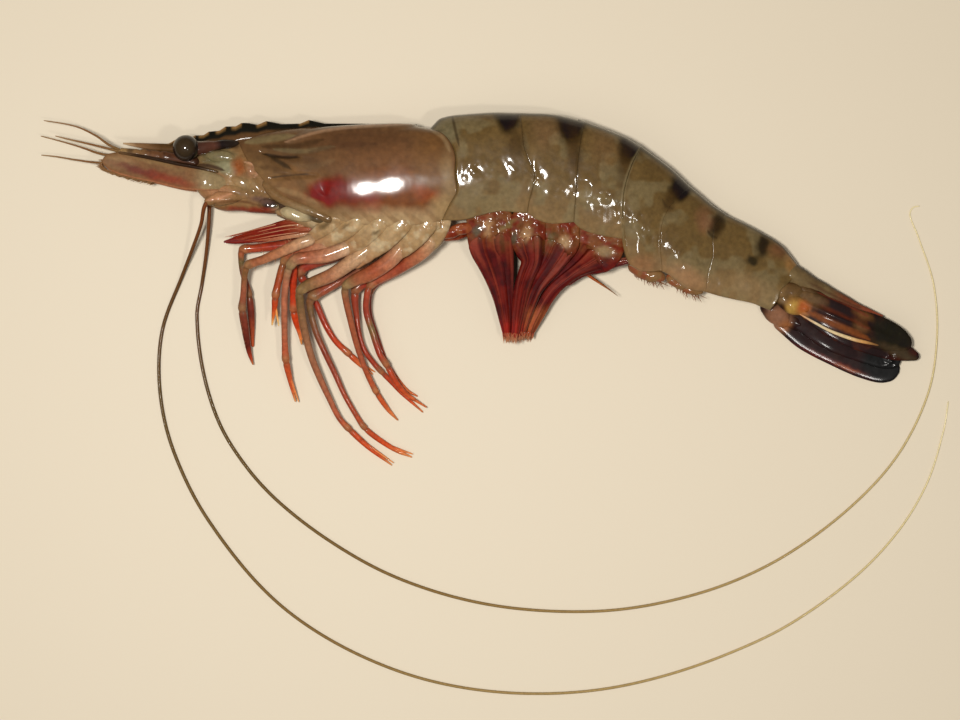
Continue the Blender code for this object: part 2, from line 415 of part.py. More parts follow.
def tube(name, line, count, colour, sides=2):
    """Tapering round limb along (x, y, z, radius) points, as a welded mesh."""
    data = bpy.data.curves.new(name, "CURVE")
    data.dimensions = "3D"
    data.bevel_depth = MM
    data.bevel_resolution = sides
    data.use_fill_caps = True
    course = data.splines.new("POLY")
    course.points.add(count - 1)
    for k in range(count):
        x, y, z, radius = spline(line, k / (count - 1))
        course.points[k].co = (*place(x, y, max(z, radius)), 1.0)
        course.points[k].radius = radius
    return as_mesh(dress(bpy.data.objects.new(name, data), colour))


def join(target, others, operation="UNION"):
    """Boolean of the target with the other objects, applied; the others are removed."""
    group = bpy.data.collections.new(target.name + "_joined")
    bpy.context.scene.collection.children.link(group)
    for other in others:
        PRAWN.objects.unlink(other)
        group.objects.link(other)
    cut = target.modifiers.new("join", "BOOLEAN")
    cut.operation = operation
    cut.operand_type = "COLLECTION"
    cut.collection = group
    cut.solver = "MANIFOLD"
    joined = as_mesh(target)
    for other in list(group.objects):
        bpy.data.objects.remove(other)
    bpy.data.collections.remove(group)
    return joined


def tooth_rise(x):
    """Height of the crest's teeth at x: each has a steep front and a long slope behind its tip."""
    rise = 0.0
    for tip in TOOTH_TIPS:
        if tip - TOOTH_RAMP < x <= tip:
            rise = max(rise, (x - tip + TOOTH_RAMP) / TOOTH_RAMP)
        elif tip < x < tip + TOOTH_TAIL:
            rise = max(rise, 1 - (x - tip) / TOOTH_TAIL)
    return rise * TOOTH_HEIGHT


def rostrum():
    """Toothed blade in the middle plane, with a ring before, on and behind each tooth's tip."""
    stations = {CREST_TOP[0][0], -94.0, -91.0, -87.5, -56.0, -52.0, -42.0, -36.0, -28.0, CREST_TOP[-1][0]}
    for tip in TOOTH_TIPS:
        stations |= {tip - TOOTH_RAMP, tip, tip + 0.6 * TOOTH_RAMP}
    bm = bmesh.new()
    rings = []
    for x in sorted(stations):
        top = along(CREST_TOP, x) + tooth_rise(x)
        low = along(CREST_LOW, x)
        half = along(CREST_HALF, x)
        shape = ((1.0, 0.0), (0.8, 0.5), (0.35, 1.0), (0.0, 0.4), (0.0, -0.4), (0.35, -1.0), (0.8, -0.5))
        rings.append([place(x, low + (top - low) * h, BODY_LEVEL + w * half) for h, w in shape])
    loft(bm, rings)
    return new_object("rostrum", bm, "carapace")


def carapace():
    edges = (CARAPACE_FRONT, CARAPACE_REAR, CARAPACE_BACK, CARAPACE_BELLY)
    body_piece("carapace", edges, arched, "carapace", steps=15, rows=6)
    join(bpy.data.objects["carapace"], [rostrum()])


def underside(name, grow):
    """Breast with its hip lobes on both sides, all larger by grow."""
    edges = (BREAST_FRONT, BREAST_REAR, BREAST_BACK, BREAST_BELLY)
    body_piece(name, edges, keeled, "flesh", share=lambda s: BREAST_SHARE + grow / 8, steps=9, rows=4)
    lobes = []
    for side in (1, -1):
        for k, (upper, lower) in enumerate(HIPS):
            bm = bmesh.new()
            lobe(bm, (*upper, BODY_LEVEL + side * HIP_RISE[0]), (*lower, BODY_LEVEL + side * HIP_RISE[1]),
                 HIP_RADIUS + grow)
            lobes.append(new_object(f"hip_{k}_{side}", bm, "flesh"))
    bm = bmesh.new()
    lobe(bm, (*CHEEK[0], BODY_LEVEL + 3.4), (*CHEEK[1], BODY_LEVEL + 4.4), 1.5 + grow)
    lobes.append(new_object("cheek", bm, "flesh"))
    bm = bmesh.new()
    lobe(bm, (*BREAST_END[0], BODY_LEVEL), (*BREAST_END[1], BODY_LEVEL), 2.0 + grow)
    lobes.append(new_object("breast_end", bm, "flesh"))
    return join(bpy.data.objects[name], lobes)


def head():
    edges = (HEAD_FRONT, HEAD_REAR, HEAD_BACK, HEAD_BELLY)
    body_piece("head", edges, rounded, "scale", steps=7, rows=3)


def tail_segments():
    for number, (front, rear, back, belly) in enumerate(SEGMENTS, 1):
        body_piece(f"tail_segment_{number}", (front, rear, back, belly), arched, "shell",
                   share=lambda s: SEGMENT_TUCK + (1 - SEGMENT_TUCK) * ease(2.5 * s), steps=7, rows=5)


def telson():
    edges = (TELSON_FRONT, TELSON_REAR, TELSON_BACK, TELSON_BELLY)
    body_piece("telson", edges, rounded, "tail_fan", steps=7, rows=2)


def mirrored(point):
    """The same point on the prawn's other side: the height is turned about the middle plane."""
    return (point[0], point[1], 2 * BODY_LEVEL - point[2], *point[3:])


def eyes():
    for side, at, line in (("left", EYE, STALK),
                           ("right", mirrored(EYE), [mirrored(p) for p in STALK])):
        bm = bmesh.new()
        where = Matrix.Translation(place(*at))
        bmesh.ops.create_uvsphere(bm, u_segments=14, v_segments=10, radius=EYE_RADIUS * MM, matrix=where)
        ball = new_object(f"eye_{side}", bm, "eye")
        join(ball, [tube(f"stalk_{side}", line, 4, "eye")])


def feelers():
    """Both pairs: the long antennae with their scales, and the antennules with two whips each."""
    for side, line, whips in (("left", FEELER_LEFT, WHIPS_LEFT), ("right", FEELER_RIGHT, WHIPS_RIGHT)):
        here = (lambda p: p) if side == "left" else mirrored
        bm = bmesh.new()
        blade(bm, [here(p) for p in SCALE], SCALE_HALF, 11)
        new_object(f"antennal_scale_{side}", bm, "scale")
        stem = tube(f"antennule_{side}", [here(p) for p in ANTENNULE_STEM], 5, "feeler", sides=1)
        join(stem, [tube(f"whip_{side}_{k}", whip, 9, "feeler", sides=0) for k, whip in enumerate(whips)])
        whip = tube(f"antenna_{side}", line, 56, "feeler", sides=1)
        join(whip, [tube(f"base_{side}", [here(p) for p in FEELER_BASE], 5, "feeler")])


def keep_largest(obj):
    """Drops loose scraps that a cut leaves."""
    bm = bmesh.new()
    bm.from_mesh(obj.data)
    unseen, pieces = set(bm.verts), []
    while unseen:
        piece, edge = set(), [unseen.pop()]
        while edge:
            vertex = edge.pop()
            piece.add(vertex)
            near = {e.other_vert(vertex) for e in vertex.link_edges} & unseen
            unseen -= near
            edge += near
        pieces.append(piece)
    pieces.sort(key=len)
    for scrap in pieces[:-1]:
        bmesh.ops.delete(bm, geom=list(scrap), context="VERTS")
    bm.to_mesh(obj.data)
    bm.free()


def clear_of_breast(limb):
    """Cuts the limb's root to the breast and its lobes, one gap away from them."""
    keep_largest(join(limb, [underside("breast_space", GAP)], "DIFFERENCE"))


def mouth_limbs():
    for side, line in (("left", MAXILLIPED_LEFT), ("right", MAXILLIPED_RIGHT)):
        clear_of_breast(tube(f"maxilliped_{side}", line, 15, "leg", sides=1))
    bm = bmesh.new()
    blade(bm, PALP, PALP_HALF, 8)
    clear_of_breast(new_object("maxilliped_palp", bm, "swimmeret"))


def legs():
    for name, line, second_tip in LEGS:
        leg = tube(name, line, 18, "leg", sides=1)
        if second_tip:
            palm, base = Vector(line[-3]), Vector(line[-2])
            root = palm.lerp(base, 0.7)
            finger = ((*root[:3], 0.45), (*second_tip, 0.18))
            leg = join(leg, [tube(f"{name}_finger", finger, 3, "leg", sides=0)])
        clear_of_breast(leg)


def swimmerets():
    """Five pairs of blades. The right ones lie under the left ones, closer at the tips."""
    for number, line in enumerate(PLEOPODS, 1):
        for side in ("left", "right"):
            lower = 0.0 if side == "left" else 1.0
            placed = [(x, y, z - lower * along(PLEOPOD_SPREAD, y), half) for x, y, z, half in line]
            bm = bmesh.new()
            blade(bm, placed, PLEOPOD_HALF, 11)
            new_object(f"pleopod_{number}_{side}", bm, "swimmeret")


def uropods():
    """Side blades of the tail fan; the outer ones carry the knuckle of their side."""
    for name, halves, line in UROPODS:
        bm = bmesh.new()
        blade(bm, line, halves, 10)
        new_object(name, bm, "tail_fan")
    for name, at, size in TAIL_KNUCKLES:
        bm = bmesh.new()
        shape = Matrix.Diagonal((*size, 1.0)) @ Matrix.Scale(MM, 4)
        bmesh.ops.create_uvsphere(bm, u_segments=10, v_segments=6, radius=1.0,
                                  matrix=Matrix.Translation(place(*at)) @ shape)
        join(bpy.data.objects[name], [new_object(f"{name}_knuckle", bm, "tail_fan")])


for leftover in list(bpy.data.objects):
    bpy.data.objects.remove(leftover)
PRAWN = bpy.data.collections.new("raw_tiger_prawn")
bpy.context.scene.collection.children.link(PRAWN)

carapace()
head()
underside("breast", 0.0)
tail_segments()
telson()
uropods()
eyes()
feelers()
mouth_limbs()
legs()
swimmerets()
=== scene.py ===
# Looks of a raw black tiger prawn that lies on its right side: every solid of the frame is replaced by
# a finer mesh of the same form, coloured by marks laid along the animal, with wet procedural surfaces.
# Sizes are millimetres in the photograph's plane, as in the solids: X to the tail, Y to the back, Z up.

import math

import bpy
import numpy as np
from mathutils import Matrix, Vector


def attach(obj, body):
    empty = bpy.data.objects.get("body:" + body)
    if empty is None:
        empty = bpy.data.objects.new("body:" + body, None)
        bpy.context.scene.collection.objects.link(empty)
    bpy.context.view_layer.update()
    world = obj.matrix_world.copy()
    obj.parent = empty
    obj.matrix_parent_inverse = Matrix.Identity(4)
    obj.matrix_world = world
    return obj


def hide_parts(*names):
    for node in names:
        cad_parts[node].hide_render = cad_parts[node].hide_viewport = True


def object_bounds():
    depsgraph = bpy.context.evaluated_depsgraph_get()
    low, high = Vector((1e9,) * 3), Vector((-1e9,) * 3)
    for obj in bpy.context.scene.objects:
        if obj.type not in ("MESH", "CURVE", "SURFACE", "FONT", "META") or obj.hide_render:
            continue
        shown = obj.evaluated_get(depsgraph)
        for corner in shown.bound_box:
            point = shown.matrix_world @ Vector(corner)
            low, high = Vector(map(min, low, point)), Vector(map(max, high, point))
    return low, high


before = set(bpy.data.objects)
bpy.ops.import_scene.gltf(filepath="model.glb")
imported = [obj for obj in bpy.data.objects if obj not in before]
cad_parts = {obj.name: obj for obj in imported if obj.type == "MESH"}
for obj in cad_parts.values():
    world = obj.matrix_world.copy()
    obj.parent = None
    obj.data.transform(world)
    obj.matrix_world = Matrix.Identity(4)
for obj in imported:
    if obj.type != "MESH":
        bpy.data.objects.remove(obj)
CAD_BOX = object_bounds()
LOW, HIGH = (np.array(corner) for corner in CAD_BOX)

MM = 0.001
MIDDLE = np.array((0.46, -0.73, 0.0))  # middle of the outline, long feelers included
BODY_LEVEL = 9.3  # height of the body's middle plane from the eyes to the fourth tail segment
STEP = 0.36  # size of the body's faces
FILM_WHITE = 0.006  # light that the wet film reflects from all round
FILM_CLEAR = 0.97  # share of the light that passes it
DARKEST = 0.002

# The picture: the place in the frame at its middle, its width in pixels and the millimetres in a pixel
PICTURE_MIDDLE = (-4.10, 11.91)
PICTURE_WIDTH = 960
PIXEL = 0.26
SENSOR_WIDTH = 36
# Camera over the body's middle plane, half the floor's side and its depth under the prawn, in metres
CAMERA_HEIGHT = 0.75
FLOOR_HALF = 1.2
FLOOR_DROP = 0.00005
WARM = (1.0, 0.97, 0.92)  # colour of the lamps

# Half thickness of the body and height of its middle plane at stations along X
BODY_HALF = ((-80, 2.6), (-66, 3.9), (-58, 5.6), (-48, 7.6), (-38, 8.9), (-26, 9.6), (-10, 9.7),
             (10, 9.6), (25, 9.3), (36, 8.6), (46, 7.6), (56, 6.3), (66, 5.2), (75, 4.3), (80, 3.4),
             (102, 0.6))
BODY_MID = ((-80, BODY_LEVEL), (28, BODY_LEVEL), (40, 8.5), (50, 7.3), (60, 6.1), (75, 4.5), (102, 3.5))

# Carapace: its edges seen from the side, front to rear and belly to back
CARAPACE_BACK = ((-66.5, 68.0), (-60.8, 70.0), (-55.6, 70.9), (-47.8, 71.6), (-33.8, 72.2), (-24.4, 72.4),
                 (-16.5, 71.2))
CARAPACE_SKIRT = ((-46.8, 50.3), (-42.5, 48.0), (-36.0, 46.4), (-30.0, 45.7), (-24.4, 45.6), (-18.0, 46.2),
                  (-13.5, 47.1))
CARAPACE_FRONT = ((-46.8, 50.3), (-53.0, 52.4), (-57.2, 55.0), (-60.3, 58.4), (-63.6, 62.4), (-66.5, 68.0))
CARAPACE_REAR = ((-13.5, 47.1), (-11.6, 51.0), (-9.7, 54.5), (-10.1, 59.0), (-10.0, 63.2), (-11.0, 66.6),
                 (-13.2, 69.4), (-16.5, 71.2))

# Rostrum: a toothed blade that runs back over the carapace as its crest
CREST_TOP = ((-96.4, 67.7), (-84.8, 67.4), (-77.0, 68.8), (-69.8, 71.0), (-64.0, 72.3), (-48.0, 72.7),
             (-33.8, 72.6), (-20.0, 72.4))
CREST_LOW = ((-96.4, 67.3), (-90.5, 65.9), (-84.0, 65.0), (-76.0, 65.2), (-66.0, 66.6), (-55.0, 68.5),
             (-20.0, 70.0))
CREST_HALF = ((-96.4, 0.25), (-84.0, 1.1), (-70.0, 1.5), (-50.0, 1.3), (-20.0, 0.7))
TOOTH_TIPS = (-82.4, -77.7, -74.2, -69.8, -65.7, -59.2, -48.2)
TOOTH_HEIGHT = 0.9
TOOTH_RAMP = 2.2  # length of a tooth's front slope
TOOTH_TAIL = 4.0  # length of its rear slope

# Head in front of the carapace, and the underside that carries the legs
HEAD_BELLY = ((-78.5, 57.5), (-75.8, 53.8), (-71.5, 50.2), (-64.7, 49.8), (-57.0, 49.1))
FACE_BACK = ((-78.6, 63.4), (-73.0, 66.2), (-65.0, 68.2))
FACE_FRONT = ((-78.5, 57.5), (-79.4, 60.4), (-78.6, 63.4))
FACE_REAR = ((-57.0, 49.1), (-57.2, 52.0), (-57.8, 54.6), (-60.2, 58.4), (-62.8, 62.6), (-65.0, 68.2))
BREAST_BACK = ((-56.4, 53.4), (-52.8, 51.9), (-46.8, 49.9), (-39.0, 47.7), (-32.0, 46.7), (-24.4, 46.5),
               (-13.9, 46.7))
BREAST_BELLY = ((-56.4, 48.6), (-47.6, 44.9), (-39.3, 42.2), (-32.0, 41.2), (-24.4, 41.0), (-17.5, 42.6),
                (-13.4, 44.4))
BREAST_FRONT = ((-56.4, 48.6), (-56.8, 51.0), (-56.4, 53.4))
BREAST_REAR = ((-13.4, 44.4), (-13.6, 45.6), (-13.9, 46.7))
BREAST_SHARE = 0.74  # the breast's half thickness as a share of the body's
# Fold of flesh between the face and the carapace, as (x, y, z, radius)
SEAM = ((-59.6, 57.4, 13.4, 1.1), (-56.6, 54.0, 14.0, 1.3), (-52.6, 51.8, 14.6, 1.4),
        (-47.0, 49.4, 15.4, 1.3), (-41.6, 47.2, 15.2, 1.1))
# Lumps of the face: both ends, the radius, and the height as a share of the width
FACE_LOBES = (
    ((-66.6, 62.2, 12.4), (-65.4, 60.4, 12.6), 1.8, 0.35),
    ((-63.7, 61.6, 13.0), (-62.4, 59.4, 13.4), 1.4, 0.5),
    ((-73.6, 64.2, 11.8), (-67.8, 63.4, 12.4), 1.7, 0.45),
    ((-60.0, 51.4, 13.4), (-56.4, 50.8, 14.2), 1.6, 0.5),
    ((-70.4, 55.2, 12.6), (-63.8, 54.0, 12.9), 1.7, 0.35),
    ((-67.0, 57.8, 12.9), (-60.6, 54.8, 13.3), 1.5, 0.3),
    ((-54.4, 49.6, 14.2), (-47.4, 48.0, 14.6), 1.7, 0.45),
    ((-47.8, 48.1, 14.6), (-42.8, 47.1, 14.8), 1.0, 0.45),
)
# Flat hip joints from the carapace's edge to the legs, as (x, y, z, half width)
HIP_SLATS = (
    ((-36.4, 51.0, 14.0, 1.9), (-40.2, 48.0, 14.9, 2.2), (-44.6, 44.8, 13.7, 1.9), (-50.6, 41.0, 11.4, 1.0)),
    ((-31.0, 51.6, 14.2, 2.2), (-34.6, 48.0, 15.5, 2.6), (-40.0, 43.8, 14.0, 2.3), (-48.2, 40.0, 11.2, 1.2)),
    ((-25.6, 51.6, 14.2, 2.6), (-29.0, 47.6, 15.8, 2.8), (-34.4, 42.4, 14.2, 2.4), (-41.6, 38.6, 11.4, 1.4)),
    ((-20.4, 51.4, 14.2, 2.7), (-23.6, 47.0, 15.8, 2.9), (-29.2, 41.2, 14.2, 2.5), (-37.0, 35.8, 11.2, 1.5)),
    ((-15.0, 51.4, 13.8, 2.5), (-17.0, 47.0, 15.5, 2.8), (-21.8, 41.4, 13.9, 2.5), (-28.6, 36.4, 11.0, 1.5)),
    ((-12.2, 49.6, 13.0, 1.6), (-13.0, 46.4, 14.0, 1.9), (-16.0, 41.8, 12.4, 1.8), (-21.0, 37.4, 10.0, 1.1)),
)
# Red gill lobes behind the last leg: both ends and the radius
GILL_LOBES = (((-13.4, 43.6, 12.4), (-9.0, 44.6, 12.8), 1.5), ((-10.4, 45.0, 13.0), (-6.2, 45.2, 12.6), 1.6),
              ((-13.4, 43.4, 8.4), (-6.6, 44.8, 8.0), 1.9))

# Tail segments: edges between them from belly to back, then each one's belly and back
EDGE_0 = ((-13.1, 47.1), (-11.2, 51.0), (-9.3, 54.5), (-9.7, 59.0), (-9.6, 63.2), (-10.6, 66.8),
          (-12.8, 69.7), (-16.1, 71.8))
EDGE_1 = ((8.6, 49.1), (8.9, 51.5), (10.0, 55.9), (10.3, 59.3), (8.8, 62.7), (7.6, 66.2), (7.2, 70.2),
          (6.5, 75.4))
EDGE_2 = ((20.5, 46.8), (21.0, 54.0), (21.5, 62.0), (22.4, 68.5), (23.4, 73.2))
EDGE_3 = ((33.3, 42.4), (33.0, 49.0), (33.4, 55.0), (35.4, 61.5), (38.2, 66.8))
FLAP_4 = ((35.8, 35.4), (34.4, 39.4), (33.7, 43.6), (33.3, 49.0), (33.7, 55.0), (35.6, 61.5), (38.2, 66.8))
EDGE_4 = ((43.4, 34.2), (42.9, 40.0), (43.2, 46.0), (45.2, 50.6), (48.3, 54.0), (51.3, 56.2))
EDGE_5 = ((54.9, 28.9), (55.3, 33.0), (56.6, 38.5), (56.6, 43.0), (57.6, 46.8), (60.5, 49.3))
EDGE_6 = ((71.8, 24.2), (73.8, 26.8), (74.6, 29.4), (76.6, 31.2), (78.4, 33.2), (79.6, 35.8))
SEGMENTS = (
    (EDGE_0, EDGE_1, ((-16.1, 71.8), (-14.3, 73.7), (-11.8, 74.5), (-7.0, 75.0), (-1.0, 75.5), (6.5, 75.4)),
     ((-13.1, 47.1), (-7.8, 47.4), (-3.9, 48.4), (2.0, 49.5), (8.6, 49.1))),
    (EDGE_1, EDGE_2, ((6.5, 75.4), (12.0, 75.2), (17.2, 74.6), (23.4, 73.2)),
     ((8.6, 49.1), (11.0, 47.4), (15.0, 46.4), (20.5, 46.8))),
    (EDGE_2, EDGE_3, ((23.4, 73.2), (29.9, 70.9), (34.5, 69.0), (38.2, 66.8)),
     ((20.5, 46.8), (22.5, 45.0), (27.0, 43.5), (33.3, 42.4))),
    (FLAP_4, EDGE_4, ((38.2, 66.8), (43.4, 63.0), (47.5, 59.8), (51.3, 56.2)),
     ((35.8, 35.4), (38.0, 34.2), (40.6, 33.9), (43.4, 34.2))),
    (EDGE_4, EDGE_5, ((51.3, 56.2), (54.4, 53.8), (57.5, 51.4), (60.5, 49.3)),
     ((43.4, 34.2), (45.5, 33.2), (50.0, 29.6), (54.9, 28.9))),
    (EDGE_5, EDGE_6, ((60.5, 49.3), (64.6, 47.4), (69.5, 45.0), (74.9, 41.6), (77.5, 38.6), (79.6, 35.8)),
     ((54.9, 28.9), (61.6, 27.0), (67.5, 25.8), (71.8, 24.2))),
)
SEGMENT_TUCK = 0.955  # half thickness at a segment's front edge as a share of the body's
TUCK_UNDER = 0.10  # how far a segment runs on under the one before it, as a share of its length
# Crinkled areas of the tail: middle, half sizes, turn, size of the folds and their height
CRINKLES = (((-6.4, 60.2), (3.2, 2.4), 0, 3.2, 0.9), ((2.0, 60.0), (6.0, 3.0), 0, 2.6, -0.3),
            ((10.4, 58.0), (1.8, 3.6), 0, 1.7, 0.45), ((17.0, 57.0), (4.6, 3.0), 0, 2.6, -0.3),
            ((24.6, 54.2), (5.2, 3.8), -30, 3.4, 0.8), ((38.0, 46.6), (8.0, 4.4), -45, 3.4, 0.35),
            ((38.0, 46.6), (7.6, 4.2), -45, 1.3, 0.2), ((50.4, 38.2), (7.6, 3.6), -45, 3.2, 0.3),
            ((50.4, 38.2), (7.2, 3.6), -45, 1.2, 0.18), ((63.0, 30.6), (5.0, 2.4), -30, 2.6, 0.3))
# Lumps of flesh that hang out under two segments: both ends and the radius
BELLY_LUMPS = {
    4: (((36.2, 35.4, 8.6), (40.4, 33.4, 8.8), 1.9), ((39.6, 33.6, 9.2), (43.6, 32.6, 8.6), 1.7)),
    5: (((45.6, 32.6, 7.4), (49.6, 30.4, 7.2), 1.3), ((49.4, 30.2, 7.0), (53.8, 28.8, 6.6), 1.2)),
}
BELLY_HAIRS = 20  # on each lump

# Telson: the tapering middle piece of the tail fan
TELSON_BACK = ((80.2, 35.6), (86.6, 31.5), (95.9, 25.9), (101.9, 22.9))
TELSON_FRONT = ((76.2, 30.9), (77.9, 33.6), (80.2, 35.6))
TELSON_REAR = ((101.7, 22.4), (101.9, 22.9))
TELSON_SKIRT = ((76.2, 30.9), (80.3, 28.8), (86.0, 26.4), (94.0, 23.9), (101.7, 22.4))

# Blades of the tail fan: half thickness at root and tip, and the centre line as (x, y, z, half width)
UROPODS = (
    ("uropod_left_outer", (0.9, 0.5),
     ((80.0, 26.4, 6.9, 2.6), (86.0, 23.8, 7.3, 3.5), (93.0, 20.8, 6.9, 3.6), (100.2, 18.3, 6.0, 3.8),
      (105.4, 16.6, 5.1, 2.8), (109.1, 14.8, 4.4, 1.0))),
    ("uropod_left_inner", (0.6, 0.5),
     ((82.6, 23.8, 5.2, 2.2), (90.0, 20.0, 5.0, 3.3), (98.0, 16.8, 4.3, 3.4), (105.0, 14.1, 3.4, 2.6),
      (109.4, 12.6, 2.9, 1.4), (111.4, 11.8, 2.7, 0.5))),
    ("uropod_right_inner", (0.6, 0.5),
     ((79.6, 22.0, 3.0, 2.0), (88.0, 17.6, 2.9, 3.2), (96.0, 14.6, 2.3, 3.3), (103.0, 11.8, 1.9, 2.6),
      (106.6, 10.4, 1.8, 1.1))),
    ("uropod_right_outer", (0.7, 0.5),
     ((75.6, 21.8, 1.6, 2.4), (82.0, 18.2, 1.1, 3.8), (90.0, 14.3, 0.7, 4.1), (98.0, 10.9, 0.7, 4.2),
      (103.6, 8.8, 0.7, 3.3), (106.6, 8.5, 0.7, 1.8))),
)
# Lobes that carry the fan: both ends, the radius, and the height as a share of the width
TAIL_LOBES = {
    "uropod_left_outer": (((73.0, 30.2, 7.6), (79.2, 28.4, 6.6), 2.7, 0.5),
                          ((75.2, 27.0, 7.0), (81.4, 24.6, 7.2), 2.7, 0.5),
                          ((79.4, 29.8, 6.6), (87.0, 26.8, 6.6), 1.5, 0.5)),
    "uropod_right_outer": (((71.6, 26.0, 4.2), (75.8, 21.6, 2.4), 3.0, 0.55),
                           ((76.6, 22.6, 2.4), (81.0, 20.4, 2.4), 2.2, 0.6)),
}
# Pale edge of the fan's upper half, as (x, y, z, radius)
BRIGHT_EDGE = ((79.4, 23.4, 7.4, 0.22), (83.6, 20.9, 7.8, 0.34), (88.0, 18.6, 7.8, 0.4),
               (93.6, 16.6, 7.7, 0.48), (97.4, 15.7, 7.3, 0.4), (100.4, 15.0, 6.7, 0.15))

# Swimmerets of the left side as centre lines of (x, y, z, half width); the right ones lie under them
PLEOPODS = (
    ((-1.0, 46.8, 12.8, 5.4), (-0.8, 42.0, 12.0, 5.2), (1.0, 35.0, 9.8, 3.7), (2.4, 28.0, 7.8, 2.4),
     (3.4, 21.0, 6.2, 1.6), (3.6, 15.8, 5.2, 0.6)),
    ((8.9, 46.3, 13.2, 4.0), (8.9, 42.0, 12.8, 3.9), (9.8, 37.0, 11.6, 2.4), (7.8, 31.6, 10.4, 1.9),
     (6.6, 25.5, 9.0, 1.6), (5.4, 15.6, 7.2, 0.6)),
    ((17.4, 44.4, 12.6, 4.0), (17.4, 42.0, 12.2, 4.0), (14.6, 36.4, 10.8, 2.9), (10.8, 30.5, 9.2, 2.1),
     (8.4, 24.0, 7.6, 1.7), (6.9, 16.2, 5.6, 0.6)),
    ((27.4, 42.2, 11.8, 5.2), (26.6, 39.4, 11.2, 4.6), (21.6, 35.4, 8.8, 2.3), (15.0, 29.8, 7.0, 2.0),
     (11.0, 23.4, 5.4, 2.0), (8.4, 16.0, 4.0, 0.7)),
    ((33.6, 36.8, 9.4, 0.9), (28.4, 35.6, 8.9, 1.2), (24.0, 34.2, 7.8, 1.0), (20.6, 32.9, 6.8, 0.4)),
)
PLEOPOD_DROP = ((16.0, 3.6), (40.0, 6.6))  # how far under, at stations along Y
# Each swimmeret's blades: shift across it and width as shares, height over the root, brightness
BLADES = ((-0.56, 0.62, 0.1, 1.0), (0.54, 0.6, 0.25, 0.75), (-0.02, 0.5, 0.6, 1.15))
ROOT_WIDTHS = (1.14, 1.14, 1.2, 1.36)  # of the crumpled roots, as shares of the line's
BLADE_HAIRS = 12  # at each blade's end
# The orange strand behind the last swimmerets
FILAMENT = ((23.4, 34.0, 7.4), (27.6, 31.2, 7.2), (30.0, 29.6, 6.9), (32.4, 27.8, 6.6))

# Eyes on short stalks, which run on into the face
EYE = (-79.6, 65.9, 14.4)
EYE_RADIUS = 3.4
STALK = ((-78.4, 66.0, 13.8, 1.9), (-76.0, 66.0, 13.4, 1.7), (-72.4, 66.7, 12.6, 1.35),
          (-69.0, 67.2, 11.4, 1.2), (-66.2, 67.4, 10.0, 0.8))

# Round limbs as (x, y, z, radius); the antennules' short whips start from their stems
WHIPS_LEFT = (
    ((-96.8, 65.5, 10.4, 0.4), (-100.1, 67.1, 10.0, 0.33), (-103.5, 69.5, 9.2, 0.27),
     (-109.2, 72.1, 7.6, 0.2), (-117.7, 73.8, 5.2, 0.13)),
    ((-96.8, 65.2, 10.6, 0.4), (-101.6, 66.4, 10.6, 0.3), (-106.4, 67.6, 9.6, 0.25),
     (-111.0, 68.7, 8.4, 0.2), (-114.4, 69.6, 7.4, 0.13)),
)
WHIPS_RIGHT = (
    ((-96.8, 65.1, 8.5, 0.4), (-100.4, 64.5, 9.2, 0.35), (-103.7, 65.2, 8.7, 0.3), (-106.4, 66.2, 7.8, 0.25),
     (-111.0, 67.7, 6.0, 0.2), (-118.8, 69.9, 3.2, 0.13)),
    ((-96.8, 64.9, 8.4, 0.4), (-99.0, 63.5, 9.2, 0.35), (-102.0, 62.5, 9.2, 0.3), (-109.2, 63.4, 6.6, 0.23),
     (-114.7, 64.4, 4.6, 0.18), (-118.7, 64.9, 3.2, 0.13)),
)
FEELER_LEFT = (
    (-74.3, 52.0, 13.7, 0.62), (-75.1, 50.4, 12.8, 0.55), (-76.1, 46.4, 10.0, 0.5), (-78.7, 40.4, 5.6, 0.48),
    (-81.9, 33.2, 1.6, 0.47), (-87.0, 19.9, 0.46, 0.46), (-88.1, 7.2, 0.46, 0.46), (-86.3, -6.2, 0.45, 0.45),
    (-81.8, -18.8, 0.44, 0.44), (-75.5, -30.4, 0.43, 0.43), (-64.4, -45.1, 0.42, 0.42),
    (-53.6, -55.4, 0.41, 0.41), (-39.7, -64.3, 0.4, 0.4), (-23.6, -71.2, 0.39, 0.39),
    (-7.6, -75.1, 0.38, 0.38), (9.8, -76.6, 0.37, 0.37), (27.4, -75.6, 0.36, 0.36), (44.5, -72.0, 0.35, 0.35),
    (61.9, -66.0, 0.33, 0.33), (77.9, -58.3, 0.31, 0.31), (94.8, -46.1, 0.28, 0.28),
    (106.3, -34.0, 0.25, 0.25), (114.0, -21.2, 0.22, 0.22), (118.4, -7.2, 0.19, 0.19),
    (119.6, 0.3, 0.16, 0.16),
)
FEELER_RIGHT = (
    (-74.5, 52.1, 5.0, 0.62), (-74.4, 50.6, 5.3, 0.55), (-74.7, 45.9, 4.2, 0.5), (-75.5, 39.3, 2.0, 0.48),
    (-76.8, 31.0, 0.5, 0.47), (-78.1, 22.8, 0.46, 0.46), (-76.5, 8.3, 0.46, 0.46), (-72.1, -5.7, 0.45, 0.45),
    (-64.9, -17.2, 0.44, 0.44), (-56.0, -26.7, 0.43, 0.43), (-42.8, -36.7, 0.42, 0.42),
    (-27.8, -45.1, 0.41, 0.41), (-10.7, -51.1, 0.4, 0.4), (6.9, -54.3, 0.39, 0.39), (27.4, -54.9, 0.38, 0.38),
    (44.5, -52.6, 0.37, 0.37), (61.9, -47.5, 0.35, 0.35), (77.9, -39.5, 0.33, 0.33),
    (94.2, -27.2, 0.31, 0.31), (106.3, -13.8, 0.29, 0.29), (114.2, 2.2, 0.26, 0.26),
    (116.6, 17.0, 0.24, 0.24), (115.7, 31.2, 0.21, 0.21), (111.6, 43.8, 0.18, 0.18),
    (109.5, 49.3, 0.17, 0.17), (110.3, 51.3, 0.16, 0.16), (112.1, 51.7, 0.15, 0.15),
)
